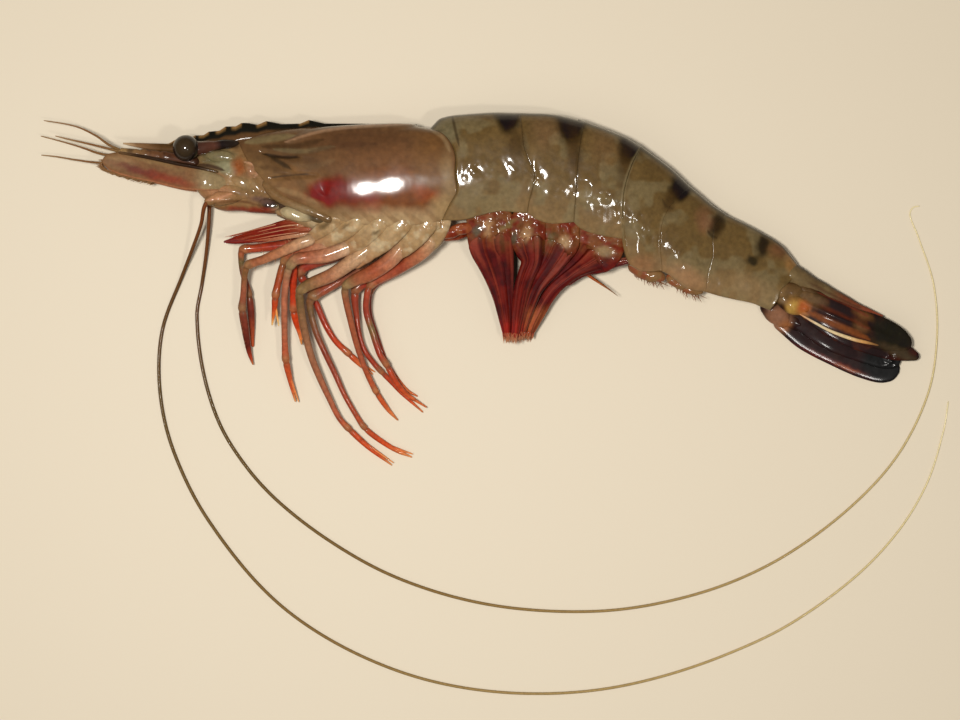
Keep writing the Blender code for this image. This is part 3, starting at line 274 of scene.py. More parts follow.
# Antennal scale as a centre line of (x, y, z, half width), which runs on into the face
SCALE = ((-101.6, 62.6, 10.9, 0.8), (-99.8, 62.7, 11.0, 2.1), (-96.0, 62.1, 11.3, 3.0),
         (-87.0, 60.1, 12.2, 3.1), (-80.0, 58.6, 13.0, 3.2), (-74.6, 57.6, 13.7, 2.6),
         (-71.0, 57.0, 12.8, 1.9), (-67.6, 56.2, 11.2, 1.0))
SCALE_HALF = (0.4, 0.6)
FRINGE = 60  # hairs at its front
FRINGE_LINE = ((-101.0, 63.2, 10.9), (-101.6, 61.8, 10.8), (-99.8, 60.4, 10.9), (-96.0, 59.2, 11.2),
               (-88.0, 57.4, 12.0))
# Dark rib along its upper edge, as (x, y, z, radius)
SCALE_RIB = ((-97.4, 65.0, 11.6, 0.35), (-90.0, 63.7, 12.4, 0.45), (-82.1, 62.0, 13.2, 0.5),
             (-76.0, 60.8, 13.9, 0.45), (-71.4, 59.7, 14.0, 0.35))
# Stems of the short feelers and of the long ones, as (x, y, z, radius)
STEM = ((-76.4, 62.2, 11.4, 1.5), (-80.4, 62.9, 11.4, 1.5), (-86.0, 63.9, 11.2, 1.4),
        (-91.4, 64.6, 11.0, 1.2), (-97.4, 65.4, 10.6, 0.9))
PEDUNCLE = ((-64.6, 54.0, 12.0, 1.0), (-68.6, 53.2, 12.8, 1.7), (-71.8, 52.8, 13.2, 1.6),
            (-74.9, 52.0, 13.2, 1.0))

# Mouth limbs and the feathery palp between them
MAXILLIPED_LEFT = ((-46.4, 42.8, 12.9, 1.3), (-51.0, 41.0, 12.8, 1.2), (-59.7, 37.3, 11.0, 0.95),
                   (-64.0, 35.7, 9.8, 0.9), (-64.8, 33.6, 9.0, 0.85), (-65.3, 28.3, 7.6, 0.85),
                   (-65.7, 24.6, 6.6, 1.0), (-65.2, 20.6, 5.4, 1.05), (-64.2, 13.6, 3.2, 0.7),
                   (-63.2, 9.9, 2.2, 0.2))
MAXILLIPED_RIGHT = ((-46.4, 42.8, 5.8, 1.3), (-52.0, 41.6, 5.6, 1.2), (-62.2, 40.4, 5.4, 0.9),
                    (-65.6, 40.0, 5.2, 0.9), (-66.1, 38.4, 5.0, 0.85), (-65.8, 34.6, 4.4, 0.8),
                    (-64.2, 28.3, 3.4, 0.9), (-63.7, 23.1, 2.4, 1.0), (-63.4, 14.6, 1.0, 0.4))
PALP = ((-47.0, 45.0, 9.3, 1.6), (-53.0, 45.2, 9.3, 2.6), (-60.0, 43.8, 8.8, 1.9), (-67.0, 42.4, 8.2, 1.0),
        (-70.4, 41.9, 8.0, 0.3))
PALP_HALF = (0.9, 0.3)
PALP_HAIRS = 46
PALE_HAIR = ((180, 142, 106), (176, 120, 88), (158, 72, 46))
RED_HAIR = ((156, 92, 60), (116, 24, 10), (136, 44, 24))

# Walking legs from hip to tip; a pincer's second finger is given by its tip
LEGS = (
    ("leg_1_left", ((-42.6, 41.8, 12.5, 1.5), (-48.0, 40.0, 10.9, 1.2), (-50.8, 39.2, 10.0, 1.15),
                    (-53.6, 38.2, 9.4, 1.1), (-54.7, 36.6, 9.0, 1.0), (-55.6, 33.5, 8.6, 1.0),
                    (-56.3, 30.9, 8.4, 0.95), (-56.9, 27.9, 8.0, 1.0), (-57.2, 25.0, 7.5, 0.75),
                    (-57.9, 20.2, 6.5, 0.2)), (-56.1, 20.0, 6.5)),
    ("leg_1_right", ((-42.6, 41.4, 5.6, 1.5), (-50.2, 38.8, 6.6, 1.2), (-52.2, 36.7, 6.9, 1.0),
                     (-52.5, 33.5, 6.4, 1.0), (-52.5, 28.3, 5.4, 0.9), (-52.4, 24.4, 4.6, 1.0),
                     (-51.8, 21.4, 4.0, 0.95), (-51.0, 18.5, 3.4, 0.6), (-50.4, 15.2, 2.8, 0.2)),
     (-49.2, 15.0, 2.9)),
    ("leg_2_left", ((-35.6, 41.3, 12.6, 1.6), (-43.4, 38.3, 12.4, 1.6), (-48.1, 37.7, 12.2, 1.35),
                    (-51.4, 37.2, 12.1, 1.2), (-52.9, 35.4, 11.6, 1.1), (-53.8, 32.6, 10.8, 0.95),
                    (-54.4, 28.3, 9.5, 0.9), (-54.6, 23.1, 8.0, 0.85), (-54.6, 15.5, 6.0, 0.85),
                    (-54.4, 11.2, 4.9, 0.95), (-53.5, 6.4, 3.4, 0.75), (-52.1, 0.2, 2.0, 0.2)),
     (-51.2, 0.1, 2.1)),
    ("leg_2_right", ((-35.6, 40.6, 5.6, 1.5), (-42.6, 38.2, 5.2, 1.4), (-49.8, 35.4, 4.6, 1.1),
                     (-50.6, 33.6, 4.3, 1.0), (-49.2, 30.9, 4.0, 0.95), (-46.8, 26.5, 3.4, 0.85),
                     (-44.2, 20.5, 2.4, 0.85), (-41.6, 16.2, 1.6, 0.8), (-38.2, 12.9, 1.2, 0.85),
                     (-34.8, 9.8, 1.0, 0.7), (-31.8, 7.4, 0.8, 0.2)), (-31.2, 8.0, 0.8)),
    ("leg_3_left", ((-30.4, 41.4, 12.7, 1.7), (-36.1, 37.2, 12.4, 1.6), (-42.0, 33.3, 11.6, 1.45),
                    (-48.0, 30.7, 10.9, 1.25), (-50.3, 29.0, 10.5, 1.2), (-50.4, 26.4, 9.9, 1.1),
                    (-49.4, 19.2, 8.5, 1.05), (-47.6, 12.0, 7.0, 0.95), (-45.5, 6.5, 5.6, 0.9),
                    (-43.3, 1.6, 4.6, 0.8), (-40.6, -3.9, 3.6, 0.75), (-38.1, -6.8, 3.0, 0.8),
                    (-32.9, -11.7, 1.8, 0.7), (-26.8, -16.5, 0.8, 0.2)), (-26.3, -15.9, 0.9)),
    ("leg_3_right", ((-30.4, 41.0, 5.4, 1.6), (-37.4, 34.1, 5.6, 1.3), (-44.7, 29.4, 6.5, 1.15),
                     (-47.4, 27.6, 6.6, 1.1), (-48.1, 25.5, 6.4, 0.95), (-46.7, 19.0, 5.5, 0.85),
                     (-44.4, 13.5, 4.6, 0.8), (-41.6, 7.5, 3.8, 0.75), (-39.2, 2.1, 3.0, 0.7),
                     (-36.1, -3.4, 2.2, 0.7), (-34.0, -6.5, 1.9, 0.75), (-30.9, -9.2, 1.5, 0.75),
                     (-25.6, -12.6, 0.9, 0.6), (-21.5, -14.4, 0.5, 0.2)), (-21.2, -13.6, 0.6)),
    ("leg_4_left", ((-23.2, 41.6, 12.8, 1.7), (-26.5, 37.4, 12.4, 1.65), (-32.1, 33.6, 11.6, 1.6),
                    (-36.1, 31.9, 10.8, 1.3), (-38.5, 30.2, 10.0, 1.1), (-38.7, 28.0, 9.3, 0.95),
                    (-37.2, 20.8, 7.5, 0.85), (-35.8, 15.1, 5.8, 0.8), (-33.6, 8.6, 4.4, 0.75),
                    (-30.9, 2.9, 2.8, 0.75), (-27.8, -1.8, 1.6, 0.6), (-25.2, -4.7, 0.8, 0.2)), None),
    ("leg_4_right", ((-22.8, 41.2, 5.4, 1.6), (-28.3, 35.1, 5.6, 1.3), (-34.0, 31.3, 5.6, 1.1),
                     (-36.2, 29.2, 5.4, 0.95), (-35.9, 22.2, 4.6, 0.8), (-35.0, 16.6, 4.0, 0.75),
                     (-33.6, 13.2, 3.5, 0.7), (-30.9, 9.6, 2.9, 0.7), (-29.5, 8.1, 2.5, 0.7),
                     (-26.8, 5.3, 1.7, 0.65), (-24.1, 2.4, 1.1, 0.55), (-18.6, -2.6, 0.5, 0.2)), None),
    ("leg_5_left", ((-15.4, 43.4, 12.8, 1.6), (-18.2, 39.4, 11.6, 1.45), (-25.1, 34.8, 9.4, 1.2),
                    (-30.5, 32.0, 8.2, 1.0), (-32.3, 30.4, 8.0, 0.95), (-33.0, 28.4, 7.8, 0.9),
                    (-33.3, 23.9, 7.0, 0.85), (-31.7, 18.4, 6.2, 0.85), (-29.8, 12.6, 5.4, 0.8),
                    (-28.1, 9.9, 5.0, 0.8), (-25.7, 5.5, 4.2, 0.75), (-23.5, 2.7, 3.4, 0.65),
                    (-17.6, -1.3, 2.0, 0.2)), None),
    ("leg_5_right", ((-15.4, 43.0, 5.6, 1.5), (-20.5, 38.0, 5.0, 1.2), (-25.7, 34.4, 4.2, 1.1),
                     (-30.8, 31.6, 3.6, 1.0), (-32.5, 29.0, 3.3, 0.9), (-32.8, 23.9, 2.8, 0.8),
                     (-31.2, 18.4, 2.0, 0.75), (-29.2, 12.6, 1.1, 0.7), (-28.0, 10.0, 0.8, 0.65),
                     (-25.0, 5.6, 0.7, 0.6), (-22.8, 3.2, 0.6, 0.5), (-20.0, 1.6, 0.4, 0.2)), None),
)
# Where each limb bends or is jointed, as numbers of its points
KNEES = {"leg_1_left": (4, 7), "leg_1_right": (2, 5), "leg_2_left": (4, 9), "leg_2_right": (3, 8),
         "leg_3_left": (4, 11), "leg_3_right": (3, 10), "leg_4_left": (4, 9), "leg_4_right": (3, 8),
         "leg_5_left": (4, 9), "leg_5_right": (4, 8)}
# Colours of each walking leg from hip to tip
WALKING = {
    "leg_1_left": ((0, (176, 130, 98)), (0.3, (160, 84, 54)), (0.5, (140, 76, 44)), (0.7, (166, 62, 32)),
                   (0.85, (192, 66, 28)), (0.93, (214, 110, 50)), (1, (232, 188, 112))),
    "leg_1_right": ((0, (166, 100, 74)), (0.3, (168, 54, 32)), (0.6, (196, 58, 28)), (0.85, (206, 66, 26)),
                    (1, (226, 150, 80))),
    "leg_2_left": ((0, (190, 162, 128)), (0.14, (182, 124, 92)), (0.25, (164, 92, 64)),
                   (0.34, (146, 116, 84)), (0.42, (172, 104, 76)), (0.66, (170, 96, 66)),
                   (0.8, (180, 76, 42)), (0.94, (196, 84, 44)), (1, (226, 150, 88))),
    "leg_2_right": ((0, (160, 100, 76)), (0.3, (150, 48, 34)), (0.6, (160, 56, 36)), (0.85, (190, 70, 34)),
                    (1, (216, 130, 70))),
    "leg_3_left": ((0, (184, 152, 114)), (0.12, (184, 140, 104)), (0.2, (166, 106, 74)),
                   (0.27, (132, 98, 62)), (0.33, (110, 84, 50)), (0.4, (134, 94, 62)), (0.5, (152, 100, 70)),
                   (0.7, (162, 90, 62)), (0.84, (186, 72, 38)), (0.95, (204, 80, 36)), (1, (222, 150, 90))),
    "leg_3_right": ((0, (160, 108, 80)), (0.25, (146, 70, 48)), (0.34, (112, 84, 54)), (0.5, (142, 62, 42)),
                    (0.75, (164, 72, 44)), (0.9, (200, 74, 34)), (1, (218, 140, 80))),
    "leg_4_left": ((0, (184, 152, 114)), (0.1, (178, 112, 80)), (0.18, (156, 78, 50)), (0.27, (152, 88, 58)),
                   (0.32, (136, 108, 72)), (0.4, (150, 84, 56)), (0.7, (164, 82, 54)), (0.9, (196, 84, 42)),
                   (1, (214, 130, 74))),
    "leg_4_right": ((0, (160, 110, 84)), (0.25, (156, 52, 38)), (0.4, (146, 60, 40)), (0.7, (156, 56, 36)),
                    (0.92, (192, 74, 38)), (1, (210, 120, 66))),
    "leg_5_left": ((0, (184, 152, 114)), (0.1, (172, 108, 74)), (0.2, (148, 66, 44)), (0.3, (160, 78, 52)),
                   (0.38, (156, 66, 44)), (0.5, (148, 58, 42)), (0.56, (120, 96, 58)), (0.64, (150, 58, 40)),
                   (0.85, (186, 70, 36)), (1, (206, 110, 60))),
    "leg_5_right": ((0, (166, 112, 84)), (0.25, (150, 50, 38)), (0.5, (142, 46, 34)), (0.8, (166, 60, 36)),
                    (1, (204, 110, 60))),
}

CLOUD_CELLS = 61  # cells of random values before a cloud repeats
HAIR_TIP = 0.05  # radius
BEND = 0.7  # place v up the body's side where its rows begin to close in towards the back
# A limb is thicker just before a joint and notched behind it: shares, and millimetres past the joint
KNEE_CUFF, CUFF_AT = 0.14, -0.4
KNEE_NOTCH, NOTCH_AT = 0.16, 0.7


def srgb(r, g, b):
    """Linear colour of screen values from 0 to 255."""
    c = np.array((r, g, b)) / 255
    return np.where(c <= 0.04045, c / 12.92, ((c + 0.055) / 1.055) ** 2.4)


def ease(t):
    """Smooth step from 0 at 0 to 1 at 1."""
    t = np.clip(t, 0.0, 1.0)
    return t * t * (3 - 2 * t)


def along(stations, x, soft=1.5):
    """Value at x between (x, value) stations, with the corners rounded over the soft width."""
    xs, values = np.array(stations, float).T
    return sum(np.interp(x + d * soft, xs, values) * w
               for d, w in ((-2, 0.1), (-1, 0.2), (0, 0.4), (1, 0.2), (2, 0.1)))


def curve(points, t):
    """Points at t, 0 to 1 by length, on a smooth curve through the points, straight beyond its ends."""
    p = np.array(points, float)
    t = np.atleast_1d(np.asarray(t, float))
    spans = np.linalg.norm(np.diff(p, axis=0), axis=1)
    starts = np.concatenate(([0.0], np.cumsum(spans)))
    place = t * starts[-1]
    run = np.clip(place, 0.0, starts[-1])
    i = np.clip(np.searchsorted(starts, run) - 1, 0, len(spans) - 1)
    slopes = np.empty_like(p)
    slopes[0] = (p[1] - p[0]) / spans[0]
    slopes[-1] = (p[-1] - p[-2]) / spans[-1]
    slopes[1:-1] = (p[2:] - p[:-2]) / (spans[1:] + spans[:-1])[:, None]
    u = ((run - starts[i]) / spans[i])[:, None]
    start, end = slopes[i] * spans[i, None], slopes[i + 1] * spans[i, None]
    beyond = (np.minimum(place, 0.0)[:, None] * slopes[0]
              + np.maximum(place - starts[-1], 0.0)[:, None] * slopes[-1])
    return (p[i] * (2 * u ** 3 - 3 * u ** 2 + 1) + start * (u ** 3 - 2 * u ** 2 + u)
            + p[i + 1] * (3 * u ** 2 - 2 * u ** 3) + end * (u ** 3 - u ** 2) + beyond)


def length_of(points):
    """Length of the straight lines between the points."""
    return np.linalg.norm(np.diff(np.array(points, float)[:, :3], axis=0), axis=1).sum()


def between_edges(edges, s, v):
    """Grid of side-view points between four meeting edges, s from front to rear and v from belly to back."""
    front, rear, back, belly = edges
    s, v = np.asarray(s), np.asarray(v)
    across = curve(belly, s)[:, None] * (1 - v)[None, :, None] + curve(back, s)[:, None] * v[None, :, None]
    lengthwise = curve(front, v)[None] * (1 - s)[:, None, None] + curve(rear, v)[None] * s[:, None, None]
    ahead = np.array(front[0])[None] * (1 - v)[:, None] + np.array(front[-1])[None] * v[:, None]
    behind = np.array(rear[0])[None] * (1 - v)[:, None] + np.array(rear[-1])[None] * v[:, None]
    return across + lengthwise - ahead[None] * (1 - s)[:, None, None] - behind[None] * s[:, None, None]


def arched(v):
    """Share of the half thickness at v: round at the back, a little drawn in at the belly edge."""
    upper = np.maximum(1 - np.maximum(2 * v - 1, 0) ** 2.4, 0.0) ** (1 / 2.4)
    return np.where(v > 0.5, upper, 1 - 0.22 * (1 - 2 * v) ** 2)


def keeled(v):
    """The same, closing round at the belly and full at the back."""
    return np.maximum(1 - (1 - v) ** 2.2, 0.0) ** (1 / 2.2)


def rounded(v):
    """The same, round at both edges."""
    return np.maximum(1 - np.abs(2 * v - 1) ** 2.2, 0.0) ** (1 / 2.2)


def cloud(x, y, size, seed):
    """Smooth uneven values from 0 to 1 over the plane, in lumps of that size and half of it."""
    total = 0.0
    for octave, weight in ((1.0, 0.65), (0.5, 0.35)):
        table = np.random.default_rng(seed + round(10 / octave)).random((CLOUD_CELLS, CLOUD_CELLS))
        u, v = np.asarray(x) / (size * octave), np.asarray(y) / (size * octave)
        i, j = np.floor(u).astype(int), np.floor(v).astype(int)
        fu, fv = ease(u - i), ease(v - j)
        corner = [[table[(i + a) % CLOUD_CELLS, (j + b) % CLOUD_CELLS] for b in (0, 1)] for a in (0, 1)]
        total = total + weight * ((corner[0][0] * (1 - fu) + corner[1][0] * fu) * (1 - fv)
                                  + (corner[0][1] * (1 - fu) + corner[1][1] * fu) * fv)
    return total


def spot(x, y, at, size, turn=0.0, soft=0.5):
    """Weight from 1 in an oval of those half sizes to 0 outside it."""
    a = math.radians(turn)
    dx, dy = x - at[0], y - at[1]
    along_it = (dx * math.cos(a) + dy * math.sin(a)) / size[0]
    across_it = (dy * math.cos(a) - dx * math.sin(a)) / size[1]
    return ease((1 + soft - np.hypot(along_it, across_it)) / (2 * soft))


def stroke(x, y, line, width, soft=0.6):
    """Weight near a smooth line through (x, y) points: width is its half width, less at its ends."""
    path = curve(line, np.linspace(0, 1, 6 * len(line)))
    nearest = np.full(np.shape(x), 1e9)
    place = np.zeros(np.shape(x))
    for k, (a, b) in enumerate(zip(path, path[1:])):
        d = b - a
        u = np.clip(((x - a[0]) * d[0] + (y - a[1]) * d[1]) / max(d @ d, 1e-9), 0, 1)
        gap = np.hypot(x - a[0] - u * d[0], y - a[1] - u * d[1])
        place = np.where(gap < nearest, (k + u) / (len(path) - 1), place)
        nearest = np.minimum(gap, nearest)
    reach = width * (1 - np.abs(2 * place - 1) ** 4 * 0.75)
    return ease((1 + soft - nearest / reach) / (2 * soft))


def bell(x, at, spread):
    """Weight of 1 at a place that falls off smoothly on both sides."""
    return np.exp(-((x - at) / spread) ** 2)


def mix(tint, colour, weight):
    """The tint, moved to the colour by the weight at each point."""
    return tint + (np.asarray(colour) - tint) * np.asarray(weight)[..., None]


def with_spots(tint, x, y, spots):
    """The tint under soft ovals of (middle, half sizes, turn, colour, strength, softness)."""
    for at, size, turn, colour, strength, soft in spots:
        tint = mix(tint, srgb(*colour), strength * spot(x, y, at, size, turn, soft))
    return tint


def with_strokes(tint, x, y, strokes):
    """The tint under soft lines of (points, half width, colour, strength)."""
    for line, width, colour, strength in strokes:
        tint = mix(tint, srgb(*colour), strength * stroke(x, y, line, width))
    return tint


def stops(t, coats):
    """Colours along a limb between (t, colour) stops."""
    places = [p for p, _ in coats]
    return np.stack([np.interp(t, places, [srgb(*c)[k] for _, c in coats]) for k in range(3)], axis=-1)


def under_water(tint):
    """The colours without the white that the film of water over them adds."""
    return np.clip((tint - FILM_WHITE) / FILM_CLEAR, DARKEST, 1)


class Skin:
    """Surfaces gathered into one mesh, each point with its colour."""

    def __init__(self):
        self.points, self.tints, self.faces, self.count = [], [], [], 0

    def grid(self, points, tint):
        """Adds a tube over rings of points (rings, around, 3) in millimetres, closed at both ends."""
        rings, around = points.shape[:2]
        index = np.arange(rings * around).reshape(rings, around)
        following = np.roll(index, -1, axis=1)
        quads = np.stack((index[:-1], following[:-1], following[1:], index[1:]), axis=-1).reshape(-1, 4)
        half = around // 2
        steps = np.arange(half - 1)
        ladder = np.stack((steps, steps + 1, around - 2 - steps, around - 1 - steps), axis=-1)
        quads = np.concatenate((quads, ladder[:, ::-1], ladder + (rings - 1) * around))
        flat = points.reshape(-1, 3)
        a, b, c, d = (flat[quads[:, k]] for k in range(4))
        volume = (np.cross(a, b) * c).sum() + (np.cross(a, c) * d).sum()
        if volume < 0:
            quads = quads[:, ::-1]
        self.points.append(flat)
        self.tints.append(np.broadcast_to(tint, points.shape).reshape(-1, 3))
        self.faces += (quads + self.count).tolist()
        self.count += len(flat)

    def build(self, name, material, slot, *nodes):
        """Puts the mesh in the frame in place of the named solids."""
        points = (np.concatenate(self.points) - MIDDLE) * MM
        points = np.clip(points, LOW, HIGH)
        mesh = bpy.data.meshes.new(name)
        mesh.from_pydata(points.tolist(), [], self.faces)
        colours = np.ones((len(points), 4), np.float32)
        colours[:, :3] = under_water(np.concatenate(self.tints))
        mesh.attributes.new("tint", "FLOAT_COLOR", "POINT").data.foreach_set("color", colours.ravel())
        mesh.shade_smooth()
        mesh.materials.append(material)
        obj = bpy.data.objects.new(name, mesh)
        bpy.context.scene.collection.objects.link(obj)
        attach(obj, "root")
        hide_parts(*nodes)


def normals(points):
    """Outward normals of a closed tube of rings."""
    around = np.roll(points, -1, axis=1) - np.roll(points, 1, axis=1)
    ahead = np.gradient(points, axis=0)
    normal = np.cross(around, ahead)
    normal /= np.maximum(np.linalg.norm(normal, axis=2, keepdims=True), 1e-9)
    outward = points - points.mean(axis=1, keepdims=True)
    return -normal if (normal * outward).sum() < 0 else normal


def raised(points, relief):
    """The rings with each point moved outwards by its relief in millimetres."""
    return points + normals(points) * relief[..., None]


def body_piece(edges, profile, share, start=0.0, end=1.0, finer=1.0):
    """Rings of a piece of the body between front, rear, back and belly edges, and its (s, v) places.

    The profile gives the share of the half thickness up the side, and share the same along the piece.
    """
    step = STEP / finer
    length = np.linalg.norm(curve(edges[2], 0.5) - curve(edges[0], 0.5)) * 2
    height = np.linalg.norm(np.array(edges[1][-1]) - np.array(edges[1][0]))
    s = np.linspace(start, end, max(round(length / step), 8))
    low = np.linspace(0, BEND, max(round(BEND * height / step), 6))
    round_back = BEND + (1 - BEND) * np.sin(np.linspace(0, math.pi / 2, max(round(0.6 * height / step), 6)))
    v = np.concatenate((low, round_back[1:]))
    side = between_edges(edges, s, v)
    half = along(BODY_HALF, side[..., 0]) * share(s)[:, None] * profile(v)[None]
    middle = along(BODY_MID, side[..., 0])
    left = np.dstack((side, middle + half))[:, ::-1]
    right = np.dstack((side, middle - half))
    points = np.concatenate((left, right[:, 1:]), axis=1)
    v_round = np.concatenate((v[::-1], v[1:]))
    return points, np.broadcast_to(s[:, None], points.shape[:2]), np.broadcast_to(v_round, points.shape[:2])


def tube(line, sides, step, knees=(), flat=1.0):
    """Rings round a limb through (x, y, z, radius) points, each ring's place along it, and the angles."""
    count = max(round(length_of(line) / step), 6)
    t = np.linspace(0, 1, count)
    path = curve(line, t)
    centre, radius = path[:, :3], path[:, 3].copy()
    run = t * length_of(line)
    for knee in knees:
        away = run - length_of(line[:knee + 1])
        radius *= 1 + KNEE_CUFF * bell(away, CUFF_AT, 1.1) - KNEE_NOTCH * bell(away, NOTCH_AT, 0.4)
    close = np.minimum(run, run[-1] - run)
    radius *= np.sqrt(1 - (1 - np.clip(close / np.maximum(radius, 0.05), 0.08, 1)) ** 2)
    ahead = np.gradient(centre, axis=0)
    ahead /= np.linalg.norm(ahead, axis=1, keepdims=True)
    up = np.array((0.0, 0.0, 1.0))
    across = np.cross(up, ahead)
    across /= np.maximum(np.linalg.norm(across, axis=1, keepdims=True), 1e-9)
    over = np.cross(ahead, across) * flat
    centre[:, 2] = np.maximum(centre[:, 2], radius * flat)
    angle = np.linspace(0, 2 * math.pi, sides, endpoint=False)
    ring = across[:, None] * np.cos(angle)[None, :, None] + over[:, None] * np.sin(angle)[None, :, None]
    points = centre[:, None] + radius[:, None, None] * ring
    shape = points.shape[:2]
    return points, np.broadcast_to(t[:, None], shape), np.broadcast_to(angle, shape)


def blade(line, halves, step, sides, roundness=1.0):
    """Rings of a flat limb with round ends, each point's place along it, and across it from -1 to 1.

    The halves are its half thickness at both ends; a lower roundness makes its faces flatter.
    """
    count = max(round(length_of(line) / step), 8)
    t = np.linspace(0, 1, count)
    path = curve(line, t)
    ahead = np.gradient(path[:, :2], axis=0)
    across = np.stack((-ahead[:, 1], ahead[:, 0]), axis=1)
    across /= np.linalg.norm(across, axis=1, keepdims=True)
    angle = 2 * math.pi * (np.arange(sides) + 0.5) / sides
    width = np.maximum(path[:, 3], 0.12)
    close = np.minimum(t, 1 - t) * length_of(line) / (0.7 * width)
    width = (width * np.sqrt(1 - (1 - np.clip(close, 0.06, 1)) ** 2))[:, None]
    half = (halves[0] + (halves[1] - halves[0]) * t)[:, None]
    reach = width * np.cos(angle)
    rise = half * np.sign(np.sin(angle)) * np.abs(np.sin(angle)) ** roundness
    points = np.dstack((path[:, 0, None] + across[:, 0, None] * reach,
                        path[:, 1, None] + across[:, 1, None] * reach, path[:, 2, None] + rise))
    shape = points.shape[:2]
    return points, np.broadcast_to(t[:, None], shape), np.broadcast_to(np.cos(angle), shape)


def ribbon(line, start, end, shift, share, lift):
    """Stretch of a flat limb's line, moved across it by a share of its half width and made narrower."""
    path = curve(line, np.linspace(start, end, 9))
    ahead = np.gradient(path[:, :2], axis=0)
    ahead /= np.linalg.norm(ahead, axis=1, keepdims=True)
    path[:, 0] -= ahead[:, 1] * shift * path[:, 3]
    path[:, 1] += ahead[:, 0] * shift * path[:, 3]
    path[:, 2] += lift
    path[:, 3] *= share
    return path


def ball(at, size, rings, around, turn=None):
    """Rings of an ellipsoid with those half sizes, with its poles along Z or along the turned axis."""
    polar = np.linspace(0.02, math.pi - 0.02, rings)[:, None]
    angle = np.linspace(0, 2 * math.pi, around, endpoint=False)[None]
    points = np.dstack((np.sin(polar) * np.cos(angle) * size[0], np.sin(polar) * np.sin(angle) * size[1],
                        np.cos(polar) * np.ones_like(angle) * size[2]))
    if turn is not None:
        points = points @ turn.T
    return points + np.array(at)


def lobe(a, b, radius, flat):
    """Ellipsoid with its long axis from a to b, its height a share of its width."""
    a, b = np.array(a, float), np.array(b, float)
    turn = np.array(Vector(b - a).to_track_quat("Z", "Y").to_matrix())
    points = ball((a + b) / 2, (radius, radius, np.linalg.norm(b - a) / 2 + radius * 0.6), 22, 28, turn)
    points[..., 2] = (a + b)[2] / 2 + (points[..., 2] - (a + b)[2] / 2) * flat
    return points


def hair(skin, path, radius, colours):
    """Thin strand through (x, y, z) points that tapers to nothing, in colours along it."""
    thin = np.linspace(radius, HAIR_TIP, len(path))
    points, t, _ = tube([(*p, r) for p, r in zip(path, thin)], 5, 0.5)
    skin.grid(points, stops(t, [(k / (len(colours) - 1), c) for k, c in enumerate(colours)]))


def wet(name, roughness=(0.42, 0.6), grain=0.5, depth=0.05, mottle=0.14, film=0.9, glow=0.08, film_ior=1.33,
        film_roughness=0.1):
    """Wet skin in the mesh's own colours: mottled, finely uneven, under a thin film of water.

    The grain is the size of its bumps and depth their height, both in millimetres.
    """
    material = bpy.data.materials.new(name)
    material.use_nodes = True
    nodes, links = material.node_tree.nodes, material.node_tree.links
    shader = nodes["Principled BSDF"]
    shader.inputs["Coat Weight"].default_value = film
    shader.inputs["Coat Roughness"].default_value = film_roughness
    shader.inputs["Coat IOR"].default_value = film_ior
    shader.inputs["Specular IOR Level"].default_value = 0.1
    shader.inputs["Subsurface Weight"].default_value = glow
    shader.inputs["Subsurface Radius"].default_value = (0.6, 0.35, 0.25)
    shader.inputs["Subsurface Scale"].default_value = 2 * MM
    where = nodes.new("ShaderNodeTexCoord")

    def noise(size, detail=3.0):
        """Value between 0 and 1 that changes over about this many millimetres."""
        node = nodes.new("ShaderNodeTexNoise")
        node.inputs["Scale"].default_value = 1 / (size * MM)
        node.inputs["Detail"].default_value = detail
        links.new(where.outputs["Object"], node.inputs["Vector"])
        return node.outputs["Fac"]

    def spread(value, low, high):
        """The middle of the noise's values, spread from low to high."""
        node = nodes.new("ShaderNodeMapRange")
        node.inputs["From Min"].default_value = 0.3
        node.inputs["From Max"].default_value = 0.7
        node.inputs["To Min"].default_value = low
        node.inputs["To Max"].default_value = high
        links.new(value, node.inputs["Value"])
        return node.outputs["Result"]

    tint = nodes.new("ShaderNodeAttribute")
    tint.attribute_name = "tint"
    shade = nodes.new("ShaderNodeMix")
    shade.data_type = "RGBA"
    shade.blend_type = "MULTIPLY"
    shade.inputs["Factor"].default_value = 1.0
    links.new(tint.outputs["Color"], shade.inputs["A"])
    links.new(spread(noise(1.6 * grain, 5.0), 1 - mottle, 1 + mottle), shade.inputs["B"])
    links.new(shade.outputs["Result"], shader.inputs["Base Color"])
    links.new(spread(noise(3 * grain), *roughness), shader.inputs["Roughness"])
    relief = nodes.new("ShaderNodeBump")
    relief.inputs["Distance"].default_value = depth * MM
    links.new(noise(grain, 4.0), relief.inputs["Height"])
    links.new(relief.outputs["Normal"], shader.inputs["Normal"])
    return material


SHELL = wet("shell", grain=0.9, depth=0.035)
CRUST = wet("carapace_shell", grain=1.0, depth=0.03)
HORN = wet("crest_horn", roughness=(0.5, 0.7), grain=0.6, depth=0.05, film=0.25)
FLESH = wet("pale_flesh", grain=0.7, depth=0.09, film=0.8, glow=0.2)
FAN = wet("tail_fan", grain=0.6, depth=0.03, film=0.35)
LEG = wet("leg_shell", grain=0.6, depth=0.07, mottle=0.24, film=0.75)
FIN = wet("swimmeret", grain=0.5, depth=0.04, film=0.7)
FEELER = wet("feeler", grain=0.3, depth=0.02, film=0.3)
EYEBALL = wet("eye", grain=0.3, depth=0.004, mottle=0.10, film=1.0, glow=0.0, film_ior=1.42,
              film_roughness=0.06)


def as_given(point):
    """The point itself, on the left side."""
    return point


def mirrored(point):
    """The same point on the prawn's right side."""
    return (point[0], point[1], 2 * BODY_LEVEL - point[2], *point[3:])


SIDES = {"left": as_given, "right": mirrored}


def unevenness(x, y, amount, seed):
    """Gentle lumps in millimetres, broad ones with fine ones on them."""
    return amount * ((cloud(x, y, 7.0, seed) - 0.5) + 0.12 * (cloud(x, y, 2.0, seed + 7) - 0.5))


